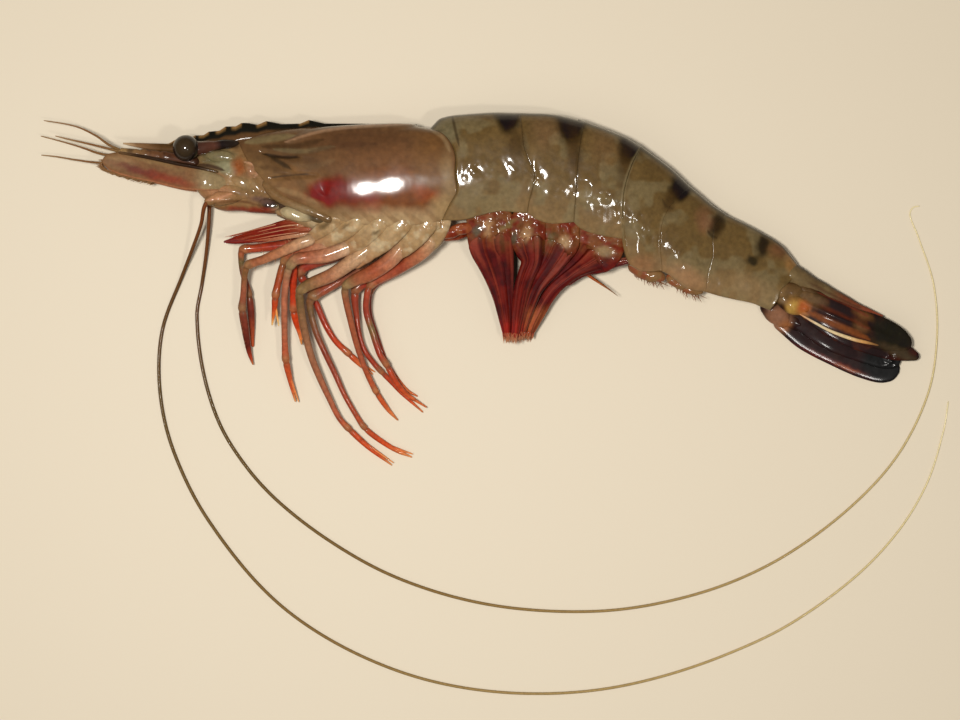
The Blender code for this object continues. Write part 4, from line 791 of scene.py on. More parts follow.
def warped(x, y, seed, reach=1.2, size=4.0):
    """The same points, pushed about so that marks get uneven edges."""
    return (x + reach * (cloud(x, y, size, seed) - 0.5) * 2,
            y + reach * (cloud(x, y, size, seed + 3) - 0.5) * 2)


def paint_carapace(x, y):
    """Brown shell with a dark red liver showing through, dark grooves, a painted highlight along the ridge
    and pale slats at its lower edge.
    """
    tint = mix(srgb(112, 80, 50), srgb(94, 66, 42), cloud(x, y, 6, 11))
    tint = with_spots(tint, *warped(x, y, 21), (
        ((-58.0, 60.0), (6.5, 5.5), -20, (122, 92, 58), 0.9, 0.7),
        ((-54.0, 64.0), (8.0, 3.4), -4, (88, 62, 38), 0.8, 0.7),
        ((-50.0, 56.0), (7.4, 4.2), -14, (124, 88, 54), 0.8, 0.7),
        ((-33.0, 67.4), (15.0, 3.6), -3, (92, 62, 40), 0.8, 0.6),
        ((-28.5, 61.2), (13.0, 4.4), 4, (112, 74, 44), 0.8, 0.6),
        ((-25.0, 54.0), (12.0, 5.4), 0, (112, 60, 22), 0.95, 0.5),
        ((-15.6, 60.0), (5.0, 9.0), 8, (112, 76, 40), 0.75, 0.6),
        ((-42.8, 54.2), (5.8, 3.4), 22, (116, 22, 2), 0.97, 0.4),
        ((-37.0, 54.0), (4.6, 3.4), -10, (106, 32, 10), 0.85, 0.6),
        ((-31.6, 51.0), (2.4, 3.4), 12, (120, 40, 14), 0.85, 0.6),
        ((-17.0, 53.6), (3.4, 1.9), -20, (140, 62, 24), 0.7, 0.7),
        ((-26.0, 46.8), (17.0, 3.4), 0, (168, 139, 101), 0.97, 0.6),
        ((-45.5, 50.0), (4.0, 1.5), -22, (136, 106, 70), 0.8, 0.6),
        ((-11.6, 54.0), (1.8, 9.5), 4, (134, 108, 72), 0.8, 0.6),
        ((-13.0, 50.0), (2.4, 3.6), 20, (152, 124, 84), 0.8, 0.6),
    ))
    tint = with_strokes(tint, x, y, (
        (((-60.0, 64.6), (-55.0, 63.6), (-50.4, 63.6)), 0.45, (36, 26, 16), 0.85),
        (((-58.2, 64.0), (-55.4, 62.3), (-52.4, 60.4)), 0.55, (48, 36, 22), 0.75),
        (((-57.6, 58.2), (-52.0, 58.9), (-46.6, 58.9)), 0.28, (44, 30, 18), 0.8),
        (((-64.6, 67.6), (-58.0, 68.4), (-51.6, 69.2)), 0.9, (128, 112, 78), 0.7),
        # pale line along the ridge behind the crest: a painted highlight
        (((-54.0, 67.4), (-44.5, 70.1), (-33.0, 71.4), (-20.0, 72.0)), 0.42, (156, 120, 90), 0.85),
        (((-60.0, 66.4), (-52.0, 66.2), (-44.0, 68.0)), 0.8, (66, 46, 28), 0.7),
        (((-57.0, 65.6), (-49.0, 65.0), (-41.0, 66.2)), 0.6, (118, 104, 74), 0.5),
        (((-52.0, 61.6), (-46.4, 61.0), (-41.0, 62.6)), 0.7, (112, 86, 58), 0.5),
        (((-60.4, 61.0), (-56.4, 60.4), (-52.4, 57.4)), 0.8, (76, 52, 30), 0.5),
        (((-54.6, 60.8), (-50.4, 57.6), (-47.4, 53.4)), 0.9, (90, 66, 40), 0.45),
        (((-56.0, 55.6), (-50.0, 53.6), (-45.6, 51.6)), 0.7, (146, 116, 78), 0.5),
        (((-48.0, 64.6), (-40.0, 66.4), (-30.0, 66.8)), 0.7, (76, 50, 34), 0.4),
        (((-16.4, 70.4), (-13.2, 68.4), (-11.2, 64.4)), 0.5, (150, 124, 88), 0.5),
    ))
    slats = ease(np.sin(1.15 * (x + 1.25 * y) + 2 * cloud(x, y, 3, 15)) * 1.5) * ease((50.6 - y) / 3)
    tint = mix(tint, srgb(126, 92, 58), 0.45 * slats)
    return tint * (0.76 + 0.28 * cloud(x, y, 0.9, 5))[..., None]


def relief_carapace(x, y):
    """Grooves and ridges of the carapace in millimetres."""
    relief = unevenness(x, y, 0.1, 31)
    for line, width, height in (
        (((-60.6, 65.0), (-55.4, 64.0), (-50.2, 63.4)), 0.7, -0.45),
        (((-58.6, 64.0), (-55.4, 62.0), (-51.8, 59.6)), 0.8, -0.35),
        (((-58.0, 58.0), (-52.0, 58.8), (-45.6, 58.8)), 0.6, -0.4),
        (((-50.0, 63.0), (-45.0, 58.6), (-43.6, 54.0)), 1.6, -0.3),
        (((-54.0, 67.4), (-44.5, 70.2), (-33.0, 71.4), (-20.0, 72.0)), 0.9, 0.35),
    ):
        relief = relief + height * stroke(x, y, line, width, 1.0)
    return relief


def carapace():
    """The head shell, and the toothed crest on it."""
    edges = (CARAPACE_FRONT, CARAPACE_REAR, CARAPACE_BACK, CARAPACE_SKIRT)
    points, s, _ = body_piece(edges, arched, lambda s: 1 - 0.03 * bell(s, 0, 0.02))
    x, y = points[..., 0], points[..., 1]
    points = raised(points, relief_carapace(x, y) * ease(s / 0.02) * ease((1 - s) / 0.02))
    skin = Skin()
    skin.grid(points, paint_carapace(x, y))
    skin.build("carapace_skin", CRUST, "carapace_shell", "carapace")
    skin = Skin()
    skin.grid(*crest())
    skin.build("crest_skin", HORN, "carapace_shell", "carapace")


def tooth_rise(x):
    """Height of the crest's teeth at x, and how near x is to a tooth's front."""
    rise, front = np.zeros_like(x), np.zeros_like(x)
    for tip in TOOTH_TIPS:
        ramp = np.clip((x - tip + TOOTH_RAMP) / TOOTH_RAMP, 0, 1) * (x <= tip)
        tail = np.clip(1 - (x - tip) / TOOTH_TAIL, 0, 1) * (x > tip)
        rise = np.maximum(rise, np.maximum(ramp, tail))
        front = np.maximum(front, ease((x - tip + 1.3 * TOOTH_RAMP) / 0.8) * ease((tip + 0.3 - x) / 0.4))
    return rise * TOOTH_HEIGHT, front


def crest():
    """Rings and colours of the toothed blade in the middle plane."""
    x = np.linspace(CREST_TOP[0][0], CREST_TOP[-1][0], 320)
    rise, front = tooth_rise(x)
    top, low = along(CREST_TOP, x, 0.4) + rise, along(CREST_LOW, x, 0.4)
    half = along(CREST_HALF, x, 0.8)
    angle = np.linspace(0, 2 * math.pi, 24, endpoint=False) + 0.01
    height = 0.5 + 0.5 * np.cos(angle)
    breadth = np.sin(angle) * (1 - 0.45 * np.cos(angle))
    y = low[:, None] + (top - low)[:, None] * height
    z = BODY_LEVEL + half[:, None] * breadth
    xs = np.broadcast_to(x[:, None], y.shape)
    tint = mix(srgb(84, 58, 34), srgb(124, 92, 62), ease((-86.0 - xs) / 6))
    tint = mix(tint, srgb(176, 146, 112), ease((-92.0 - xs) / 4))
    tint = mix(tint, srgb(28, 26, 16), ease((y - low[:, None] - 0.5 * (top - low)[:, None]) / 0.7)
               * ease((xs + 86.0) / 4))
    tint = mix(tint, srgb(146, 110, 68), 0.9 * front[:, None] * ease((height - 0.78) / 0.16))
    tint = mix(tint, srgb(18, 15, 12), 0.9 * spot(xs, y, (-69.9, 66.9), (3.0, 0.9)))
    return np.dstack((xs, y, z)), tint


def paint_tail(x, y, v):
    """Olive brown shell, paler at the belly, with a black spot and a brown band down each segment."""
    tint = mix(srgb(104, 82, 48), srgb(88, 68, 38), cloud(x, y, 5, 41))
    tint = mix(tint, srgb(128, 102, 68), ease((0.42 - v) / 0.5) * (0.6 + 0.4 * cloud(x, y, 3, 44)))
    tint = mix(tint, srgb(116, 102, 72), 0.6 * ease((cloud(x, y, 4, 47) - 0.5) * 5))
    black, brown = (28, 20, 9), (60, 42, 22)
    tint = with_spots(tint, *warped(x, y, 51, 0.7, 3.0), (
        ((3.4, 74.0), (3.0, 4.2), 0, black, 1.0, 0.35),
        ((5.8, 67.0), (2.4, 5.0), 0, brown, 0.6, 0.8),
        ((19.8, 72.0), (3.7, 4.8), -8, black, 1.0, 0.35),
        ((20.6, 65.0), (1.8, 6.0), 0, brown, 0.75, 0.8),
        ((35.0, 66.4), (3.1, 4.4), -14, black, 1.0, 0.35),
        ((33.6, 60.6), (1.7, 4.8), -8, brown, 0.7, 0.8),
        ((48.2, 55.8), (2.9, 3.4), -30, black, 1.0, 0.35),
        ((45.4, 52.4), (1.3, 2.8), -14, brown, 0.7, 0.8),
        ((57.8, 46.4), (1.7, 3.6), -16, (40, 28, 16), 0.9, 0.5),
        ((69.8, 41.0), (1.8, 3.2), -12, (34, 26, 16), 0.92, 0.45),
        ((67.2, 36.9), (1.7, 1.2), 20, (36, 30, 18), 0.9, 0.5),
        ((-13.6, 71.4), (4.4, 4.0), 30, (108, 98, 72), 0.8, 0.5),
        ((13.0, 70.0), (3.4, 4.6), 0, (112, 84, 58), 0.5, 0.8),
        ((28.4, 66.0), (3.4, 4.6), 0, (110, 82, 54), 0.5, 0.8),
        ((54.6, 47.4), (2.2, 2.8), 0, (122, 84, 58), 0.75, 0.7),
        ((74.2, 39.8), (2.6, 2.2), 0, (108, 72, 46), 0.8, 0.7),
        ((77.4, 36.4), (1.8, 2.0), 0, (146, 106, 62), 0.75, 0.7),
        ((66.0, 30.0), (8.0, 3.0), -18, (136, 110, 76), 0.6, 0.8),
        ((50.0, 32.6), (5.4, 2.2), -30, (152, 112, 78), 0.7, 0.8),
        ((39.0, 35.6), (3.6, 2.4), 0, (134, 92, 60), 0.7, 0.8),
    ))
    tint = with_strokes(tint, x, y, (
        (((-10.9, 74.4), (-9.9, 70.0), (-9.0, 66.2)), 0.35, (50, 36, 20), 0.7),
        # pale band along the edge between the third and fourth segments: partly the shell's colour, partly a
        # painted highlight
        (EDGE_3, 0.5, (132, 118, 86), 0.35),
        (EDGE_1, 0.4, (70, 54, 32), 0.3),
        (EDGE_2, 0.4, (66, 50, 28), 0.3),
        (((55.2, 44.8), (56.2, 43.4), (57.8, 42.8)), 0.35, (44, 32, 18), 0.6),
        (((43.4, 52.6), (44.4, 50.8), (46.4, 50.2)), 0.35, (48, 36, 20), 0.5),
    ))
    tint = tint * (0.86 + 0.28 * cloud(x, y, 0.8, 5))[..., None]
    return mix(tint, srgb(34, 28, 12), 0.9 * ease((v - 0.945) / 0.04))


def tucked(s):
    """Share of the half thickness along a segment, whose front runs on under the one before it."""
    return np.where(s < 0, 0.9 + 0.4 * s, SEGMENT_TUCK + (1 - SEGMENT_TUCK) * ease(2.5 * s))


def tail_segments():
    """The six shells of the tail, crinkled down their sides, with the flesh that hangs out below."""
    for number, edges in enumerate(SEGMENTS, 1):
        points, s, v = body_piece(edges, arched, tucked, start=-TUCK_UNDER, finer=1.25)
        x, y = points[..., 0], points[..., 1]
        relief = unevenness(x, y, 0.4, 60 + number)
        for at, size, turn, fold, amount in CRINKLES:
            relief = relief + amount * (cloud(x, y, fold, 65) - 0.5) * spot(x, y, at, size, turn, 0.8)
        skin = Skin()
        skin.grid(raised(points, relief * ease((1 - s) / 0.05)), paint_tail(x, y, v))
        for a, b, radius in BELLY_LUMPS.get(number, ()):
            belly_lump(skin, a, b, radius)
        skin.build(f"tail_shell_{number}", SHELL, "tail_shell", f"tail_segment_{number}")


def belly_lump(skin, a, b, radius):
    """Pinkish lump of flesh that hangs out under the shell, with short hairs along it."""
    points = lobe(a, b, radius, 0.8)
    x, y = points[..., 0], points[..., 1]
    tint = mix(srgb(122, 92, 58), srgb(126, 72, 46), ease((cloud(x, y, 1.3, 106) - 0.4) * 4))
    skin.grid(raised(points, unevenness(x * 3, y * 3, 0.9, 107)), tint)
    rng = np.random.default_rng(round(10 * a[0]))
    a, b = np.array(a), np.array(b)
    for k in range(BELLY_HAIRS):
        root = a + (b - a) * (k + rng.random()) / BELLY_HAIRS + (0, -0.6 * radius, 0)
        lean = np.array((0.9 * rng.normal() + 0.5, -0.8 - 1.5 * rng.random(), 0.3 * rng.normal()))
        hair(skin, (root, root + 0.6 * lean, root + lean + (0.2, 0, 0)), 0.12, ((112, 76, 46), (124, 74, 46)))


def head():
    """The face, run on under the carapace's front edge, with its lumps and the fold along that edge."""
    edges = (FACE_FRONT, FACE_REAR, FACE_BACK, HEAD_BELLY)
    points, *_ = body_piece(edges, rounded, lambda s: 1 - 0.16 * ease((s - 0.86) / 0.12), end=1.2, finer=1.3)
    x, y = points[..., 0], points[..., 1]
    skin = Skin()
    relief = unevenness(x, y, 0.7, 77)
    relief = relief + 0.16 * (cloud(x, y, 0.7, 76) - 0.5) * spot(x, y, (-66.0, 57.0), (8.0, 6.0), 0, 0.8)
    skin.grid(raised(points, relief), paint_head(x, y))
    for here in SIDES.values():
        for a, b, radius, flat in FACE_LOBES:
            points = lobe(here(a), here(b), radius, flat)
            x, y = points[..., 0], points[..., 1]
            relief = unevenness(x * 2.5, y * 2.5, 0.5, 78) + 0.14 * (cloud(x, y, 0.7, 79) - 0.5)
            skin.grid(raised(points, relief), paint_head(x, y))
        points, *_ = tube([here(p) for p in SEAM], 20, 0.25)
        x, y = points[..., 0], points[..., 1]
        tint = mix(paint_head(x, y), srgb(116, 88, 56), 0.7)
        skin.grid(raised(points, unevenness(x * 2, y * 2, 0.5, 75)), tint)
    skin.build("head_skin", FLESH, "head_flesh", "head")


def paint_head(x, y):
    """Tan face with a pale cheek, dark marks behind the eye and at the mouth, and a red lower edge."""
    tint = mix(srgb(136, 102, 66), srgb(114, 86, 54), cloud(x, y, 4, 71))
    tint = with_spots(tint, *warped(x, y, 73, 0.5, 2), (
        ((-71.2, 63.4), (5.0, 2.6), -8, (110, 100, 70), 0.95, 0.5),
        ((-69.0, 60.8), (2.6, 1.4), -10, (138, 134, 104), 0.8, 0.7),
        ((-73.4, 66.6), (3.6, 1.2), -6, (58, 34, 28), 0.9, 0.6),
        ((-69.6, 67.0), (3.2, 1.0), -4, (30, 22, 20), 0.95, 0.5),
        ((-66.0, 61.2), (1.5, 2.0), 0, (140, 72, 30), 0.9, 0.8),
        ((-62.8, 60.1), (1.4, 1.7), 0, (150, 106, 76), 0.8, 0.7),
        ((-71.6, 54.4), (3.6, 2.2), -10, (168, 120, 84), 0.85, 0.6),
        ((-66.0, 56.8), (4.6, 1.5), -8, (150, 122, 84), 0.7, 0.7),
        ((-57.8, 51.3), (2.3, 1.4), 0, (34, 20, 18), 0.97, 0.5),
        ((-60.4, 52.6), (3.0, 1.0), -8, (96, 72, 64), 0.8, 0.6),
        ((-63.0, 49.9), (7.0, 0.9), -3, (124, 40, 30), 0.9, 0.6),
        ((-50.4, 49.0), (5.6, 2.0), -10, (164, 148, 114), 0.95, 0.5),
        ((-44.8, 47.7), (3.4, 1.4), -12, (74, 60, 40), 0.95, 0.4),
    ))
    tint = with_strokes(tint, x, y, (
        (((-64.6, 62.4), (-62.2, 61.7), (-61.3, 60.0), (-62.0, 58.2)), 0.35, (186, 140, 108), 0.9),
        (((-77.0, 61.8), (-73.0, 61.3), (-69.8, 60.2)), 0.5, (62, 42, 28), 0.9),
        (((-72.6, 51.6), (-66.0, 52.3), (-60.0, 51.0)), 0.3, (100, 68, 44), 0.8),
        (((-74.4, 52.4), (-71.0, 53.0), (-67.6, 54.4)), 0.3, (196, 140, 108), 0.7),
    ))
    return tint * (0.82 + 0.36 * cloud(x, y, 0.8, 7))[..., None]


def breast():
    """The underside, with the flat hip joint of each leg laid over it like slats, and a red gill behind."""
    skin = Skin()
    edges = (BREAST_FRONT, BREAST_REAR, BREAST_BACK, BREAST_BELLY)
    points, *_ = body_piece(edges, keeled, lambda s: np.full_like(s, BREAST_SHARE))
    skin.grid(points, paint_breast(points[..., 0], points[..., 1]))
    for here in SIDES.values():
        for line in HIP_SLATS:
            points, t, angle = tube([here(p) for p in line], 32, 0.25, flat=0.55)
            x, y = points[..., 0], points[..., 1]
            relief = unevenness(x * 1.6, y * 1.6, 0.5, 87) + 0.22 * (cloud(x, y, 1.1, 88) - 0.5)
            tint = mix(paint_breast(x, y), srgb(164, 112, 78), 0.7 * ease((t - 0.55) / 0.4))
            # darker along the side where each slat meets the next: painted shade in the gap
            rear = ease((-np.cos(angle) - 0.86) / 0.12) * ease(np.sin(angle) + 0.8)
            tint = mix(tint, srgb(92, 68, 44), 0.6 * rear * ease((t - 0.12) / 0.2))
            skin.grid(raised(points, relief), tint)
    for a, b, radius in GILL_LOBES:
        points = lobe(a, b, radius, 0.8)
        x, y = points[..., 0], points[..., 1]
        tint = mix(srgb(138, 74, 44), srgb(112, 40, 24), ease((cloud(x, y, 1.3, 84) - 0.35) * 3))
        skin.grid(raised(points, unevenness(x * 3, y * 3, 0.7, 85)), tint)
    skin.build("breast_flesh", FLESH, "pale_flesh", "breast")


def paint_breast(x, y):
    """Pale flesh in two tones, with painted shade in the gaps between the slats."""
    tint = mix(srgb(172, 144, 106), srgb(146, 114, 76), cloud(x, y, 3, 81))
    tint = mix(tint, srgb(184, 164, 130), 0.7 * ease((cloud(x, y, 1.8, 82) - 0.55) * 5))
    tint = with_spots(tint, *warped(x, y, 83, 0.5, 2), (
        ((-55.0, 51.4), (2.6, 1.6), 0, (40, 24, 22), 0.9, 0.6),
        # dark marks in the gaps between the slats: painted shade
        ((-43.4, 46.0), (2.0, 0.7), 25, (98, 78, 50), 0.9, 0.6),
        ((-38.2, 45.6), (1.2, 0.4), 30, (104, 84, 56), 0.9, 0.7),
        ((-30.6, 44.0), (1.2, 0.4), 35, (104, 84, 56), 0.9, 0.7),
        ((-13.4, 47.4), (2.0, 2.0), 0, (170, 140, 104), 0.7, 0.7),
    ))
    return tint * (0.84 + 0.32 * cloud(x, y, 0.8, 9))[..., None]


def eyes():
    """Round glossy eyes, each on a dark stalk that runs back into the face."""
    for side, here in SIDES.items():
        skin = Skin()
        points = ball(here(EYE), (EYE_RADIUS,) * 3, 40, 52)
        x, y = points[..., 0], points[..., 1]
        # darker towards the eye's outline as seen from above: painted shade
        rim = ease((np.hypot(x - EYE[0], y - EYE[1]) / EYE_RADIUS - 0.55) / 0.4)
        tint = mix(srgb(52, 40, 26), srgb(10, 7, 4), rim)
        skin.grid(points, tint * (0.8 + 0.4 * cloud(x, y, 1.2, 91))[..., None])
        points, t, _ = tube([here(p) for p in STALK], 24, 0.25)
        x, y = points[..., 0], points[..., 1]
        tint = stops(t, ((0, (58, 36, 28)), (0.45, (84, 50, 38)), (0.6, (30, 22, 20)), (1, (44, 34, 26))))
        skin.grid(raised(points, unevenness(x * 3, y * 3, 0.5, 93)), tint)
        skin.build(f"eyeball_{side}", EYEBALL, "eye", f"eye_{side}")


def antennal_scale(side, here):
    """The broad flat plate beside the antenna, with its thick dark rib and its fringe."""
    skin = Skin()
    points, _, across = blade([here(p) for p in SCALE], SCALE_HALF, 0.25, 44)
    x, y = points[..., 0], points[..., 1]
    wx, wy = warped(x, y, 96, 0.6, 2)
    tint = mix(srgb(124, 86, 56), srgb(104, 74, 48), cloud(x, y, 3, 95))
    tint = mix(tint, srgb(140, 110, 76), 0.8 * spot(wx, wy, (-97.0, 62.6), (4.0, 1.6), -12))
    tint = mix(tint, srgb(140, 122, 88), 0.8 * ease((x + 79.0) / 5))
    tint = mix(tint, srgb(92, 40, 34), 0.85 * spot(wx, wy, (-92.0, 60.4), (6.6, 0.9), -17, 0.8))
    tint = mix(tint, srgb(128, 50, 30), 0.8 * spot(wx, wy, (-84.2, 57.9), (5.8, 1.1), -15, 0.9))
    tint = mix(tint, srgb(134, 108, 70), 0.6 * spot(wx, wy, (-88.0, 62.4), (8.0, 0.5), -15, 0.9))
    tint = mix(tint, srgb(156, 100, 68), 0.8 * ease((-0.84 - across) / 0.1))
    grain = 0.84 + 0.2 * cloud(x, y, 0.8, 8) + 0.16 * cloud(x * 0.25, across * 6, 1.0, 98)
    skin.grid(points, tint * grain[..., None])
    points, t, _ = tube([here(p) for p in SCALE_RIB], 12, 0.3)
    coats = ((0, (96, 70, 44)), (0.2, (50, 34, 22)), (0.8, (44, 30, 20)), (1, (90, 70, 48)))
    skin.grid(points, stops(t, coats))
    rng = np.random.default_rng(5)
    for k in range(FRINGE):
        u = k / FRINGE
        start = here(tuple(curve(FRINGE_LINE, u)[0]))
        end = (start[0] - 0.9 - 1.2 * rng.random(), start[1] - 0.1 - 0.9 * u * rng.random(), start[2] - 0.3)
        hair(skin, (start, end), 0.2, ((118, 82, 50), (140, 106, 70)))
    skin.build(f"scale_skin_{side}", FIN, "antennal_scale", f"antennal_scale_{side}")


def feelers():
    """Both pairs: the long antennae with their scales, and the antennules with two whips each."""
    for side, line, whips in (("left", FEELER_LEFT, WHIPS_LEFT), ("right", FEELER_RIGHT, WHIPS_RIGHT)):
        here = SIDES[side]
        antennal_scale(side, here)
        skin = Skin()
        points, t, _ = tube([here(p) for p in STEM], 18, 0.25, (2, 3), 0.8)
        x, y = points[..., 0], points[..., 1]
        tint = stops(t, ((0, (56, 36, 26)), (0.3, (84, 52, 36)), (0.6, (104, 70, 46)), (1, (146, 116, 76))))
        skin.grid(points, mix(tint, srgb(40, 26, 20), 0.6 * ease((cloud(x, y, 1.6, 97) - 0.5) * 4)))
        for whip in whips:
            points, t, _ = tube(whip, 8, 0.25)
            skin.grid(points, stops(t, ((0, (120, 92, 56)), (0.4, (122, 84, 52)), (1, (150, 118, 80)))))
        skin.build(f"antennule_skin_{side}", FEELER, "feeler", f"antennule_{side}")
        skin = Skin()
        points, t, angle = tube(line, 12, 0.4)
        coats = ((0, (96, 52, 28)), (0.06, (80, 52, 28)), (0.16, (80, 62, 34)), (0.4, (112, 88, 50)),
                 (0.7, (150, 128, 84)), (0.88, (182, 166, 122)), (1, (204, 190, 150)))
        tint = stops(t, coats)
        # upper side of the antenna painted lighter: a painted highlight
        tint = mix(tint, tint * 1.5, 0.7 * ease(np.sin(angle) * 2 - 0.6))
        skin.grid(points, tint)
        points, *_ = tube([here(p) for p in PEDUNCLE], 24, 0.25, (2,), 0.7)
        skin.grid(points, paint_head(points[..., 0], points[..., 1]))
        skin.build(f"antenna_skin_{side}", FEELER, "feeler", f"antenna_{side}")


def limb(node, line, coats, knees, second_tip=None, bristles=0):
    """A limb with cuffs and pale skin at its joints, painted shade down one side and a painted highlight down
    the other, and a second finger or bristles where it has them.
    """
    skin = Skin()
    thick = [(*p[:3], p[3] * (1.24 if k < 4 else 0.98)) for k, p in enumerate(line)]
    points, t, angle = tube(thick, 20, 0.2, knees, 0.82)
    x, y = points[..., 0], points[..., 1]
    tint = stops(t, coats)
    tint = mix(tint, tint * 0.66, 0.7 * cloud(x * 1.3, y * 1.3, 1.4, 17))
    # painted shade down one side of the limb and a painted highlight down the other
    tint = mix(tint, tint * 0.6, 0.7 * ease(-0.2 - np.cos(angle)))
    tint = mix(tint, tint ** 0.86, 0.6 * ease(np.cos(angle) * 1.4))
    for knee in knees:
        away = t * length_of(line) - length_of(line[:knee + 1])
        tint = mix(tint, srgb(142, 116, 78), 0.5 * bell(away, CUFF_AT, 1.3))
        crease = bell(away, NOTCH_AT, 0.3) * ease(1.2 - np.abs(np.cos(angle)))
        tint = mix(tint, srgb(74, 46, 30), 0.5 * crease)
    skin.grid(points, tint)
    if second_tip:
        root = np.array(line[-3]) * 0.3 + np.array(line[-2]) * 0.7
        finger = ((*root[:3], 0.5), (*second_tip, 0.15))
        points, t, _ = tube(finger, 10, 0.25)
        skin.grid(points, stops(t, ((0, coats[-2][1]), (1, coats[-1][1]))))
    name = f"{node}_skin"
    rng = np.random.default_rng(len(name) + bristles)
    for place in rng.random(bristles):
        x, y, z, radius = curve(line, 0.08 + 0.84 * place)[0]
        side = rng.choice((-1, 1))
        start = (x, y + side * radius * 0.8, z)
        hair(skin, (start, (x - 0.5, y + side * (radius + 0.9 + rng.random()), z + 0.2)), 0.07,
             ((130, 80, 54), (170, 120, 84)))
    skin.build(name, LEG, "leg_shell", node)


def legs():
    """The ten walking legs."""
    for node, line, second_tip in LEGS:
        limb(node, line, WALKING[node], KNEES[node], second_tip)


def mouth_limbs():
    """The long third maxillipeds and the feathery palp between them."""
    left = ((0, (190, 154, 118)), (0.2, (176, 116, 80)), (0.4, (150, 84, 54)), (0.46, (122, 84, 50)),
            (0.56, (152, 84, 58)), (0.72, (120, 54, 38)), (0.88, (92, 34, 26)), (0.96, (160, 56, 34)),
            (1, (190, 110, 60)))
    right = ((0, (170, 110, 80)), (0.25, (160, 54, 36)), (0.44, (164, 70, 40)), (0.5, (112, 96, 60)),
             (0.58, (140, 62, 42)), (0.8, (104, 40, 30)), (1, (180, 80, 44)))
    limb("maxilliped_left", MAXILLIPED_LEFT, left, (3, 6), bristles=26)
    limb("maxilliped_right", MAXILLIPED_RIGHT, right, (3, 6), bristles=10)
    skin = Skin()
    points, t, across = blade(PALP, PALP_HALF, 0.25, 28)
    points[..., 2] += 0.08 * np.sin(14 * across)
    skin.grid(points, mix(stops(t, ((0, (160, 104, 74)), (0.3, (128, 40, 22)), (1, (112, 28, 14)))),
                          srgb(92, 20, 18), ease(np.sin(9 * across))))
    rng = np.random.default_rng(11)
    for k in range(PALP_HAIRS):
        u, lag = k / (PALP_HAIRS - 1), rng.random()
        root = (-43.5 - 3 * lag, 44.0 + 3.6 * u, 10.4 + 0.8 * rng.random())
        middle = (-54.5, 42.6 + 4.3 * u + 0.3 * lag, 9.8 + 0.9 * rng.random())
        tip = (-62.0 - 8.4 * u ** 0.8 + 4.5 * lag ** 2, 41.5 + 1.7 * u + 0.5 * lag, 8.0 + 1.2 * rng.random())
        coats = PALE_HAIR if rng.random() < 0.34 else RED_HAIR
        hair(skin, (root, middle, tip), 0.46 if k % 3 else 0.3, coats)
    skin.build("palp_skin", FIN, "swimmeret", "maxilliped_palp")


def paint_swimmeret(x, y):
    """Brown roots with pale and bluish spots, wine red below, reddish orange at the lower right."""
    tint = mix(srgb(98, 28, 22), srgb(66, 16, 15), ease((cloud(x, y, 2.4, 99) - 0.3) * 2))
    root = ease((y - 37.6 - 0.1 * (12 - x) + 4 * (cloud(x, y, 2.4, 105) - 0.5)) / 5)
    tint = mix(tint, srgb(112, 68, 38), 0.9 * root)
    tint = mix(tint, srgb(104, 34, 22), 0.85 * ease((cloud(x, y, 1.8, 103) - 0.48) * 6) * root)
    tint = mix(tint, srgb(148, 34, 24), 0.7 * ease((22.5 - y) / 3))
    tint = mix(tint, srgb(160, 88, 52), 0.8 * ease((x - 7.0) / 2) * ease((26.5 - y) / 4))
    tint = mix(tint, srgb(176, 120, 84), 0.8 * ease((17.6 - y) / 1.6))
    return with_spots(tint, *warped(x, y, 104, 0.6, 1.5), (
        ((-1.6, 45.6), (0.9, 2.4), -4, (158, 120, 82), 0.9, 0.5),
        ((8.3, 43.6), (1.2, 2.0), -14, (164, 126, 88), 0.9, 0.5),
        ((18.4, 41.8), (1.6, 1.7), -30, (160, 128, 92), 0.9, 0.5),
        ((28.6, 39.4), (2.6, 1.3), -8, (136, 112, 78), 0.9, 0.5),
        ((-4.4, 44.6), (1.0, 1.4), 0, (86, 78, 64), 0.9, 0.5),
        ((5.2, 42.6), (0.9, 1.7), -10, (78, 68, 50), 0.9, 0.5),
        ((15.2, 42.8), (0.9, 1.5), -30, (92, 74, 48), 0.9, 0.5),
        ((3.6, 46.0), (2.6, 0.7), 34, (120, 98, 60), 0.9, 0.5),
    ))


def swimmeret_root(skin, line, number):
    """The crumpled root, tucked up under the shell and thinning out over the blades."""
    strip = ribbon(line, -0.14, 0.46, 0.0, ROOT_WIDTHS[number - 1], 0.2)
    points, t, across = blade(strip, (0.9, 0.5), 0.32, 44)
    x, y = points[..., 0], points[..., 1]
    folds = 1.1 * (cloud(x * 1.4 + 0.5 * y, y * 0.5, 1.7, 101 + number) - 0.5)
    folds = folds + 0.4 * (cloud(x, y, 0.9, 108) - 0.5)
    points[..., 2] += folds * (1 - across ** 4) * ease((0.75 - t) / 0.3) - 1.3 * ease((t - 0.35) / 0.6)
    skin.grid(points, paint_swimmeret(x, y) * (0.7 + 0.56 * cloud(x, y, 0.8, 12))[..., None])


def swimmeret_blade(skin, line, number, shift, shade):
    """A long folded blade with streaks along it; returns its rings."""
    points, t, across = blade(line, (0.7, 0.3), 0.34, 28)
    points[..., 2] += cloud(across * 1.9 + 3 * number, t * 1.8 + 9 * shift, 1.0, 109) - 0.5
    tint = paint_swimmeret(points[..., 0], points[..., 1]) * shade
    streak = ease((cloud(across * 2.4 + 3 * number, t * 1.3 + 7 * shift, 1.0, 110) - 0.54) * 5)
    tint = mix(tint, srgb(142, 62, 46), 0.55 * streak)
    shadow = ease((cloud(across * 2 + 3 * number, t * 1.2 + 5 * shift, 1.0, 114) - 0.5) * 5)
    skin.grid(points, mix(tint, srgb(58, 14, 14), 0.6 * shadow))
    return points


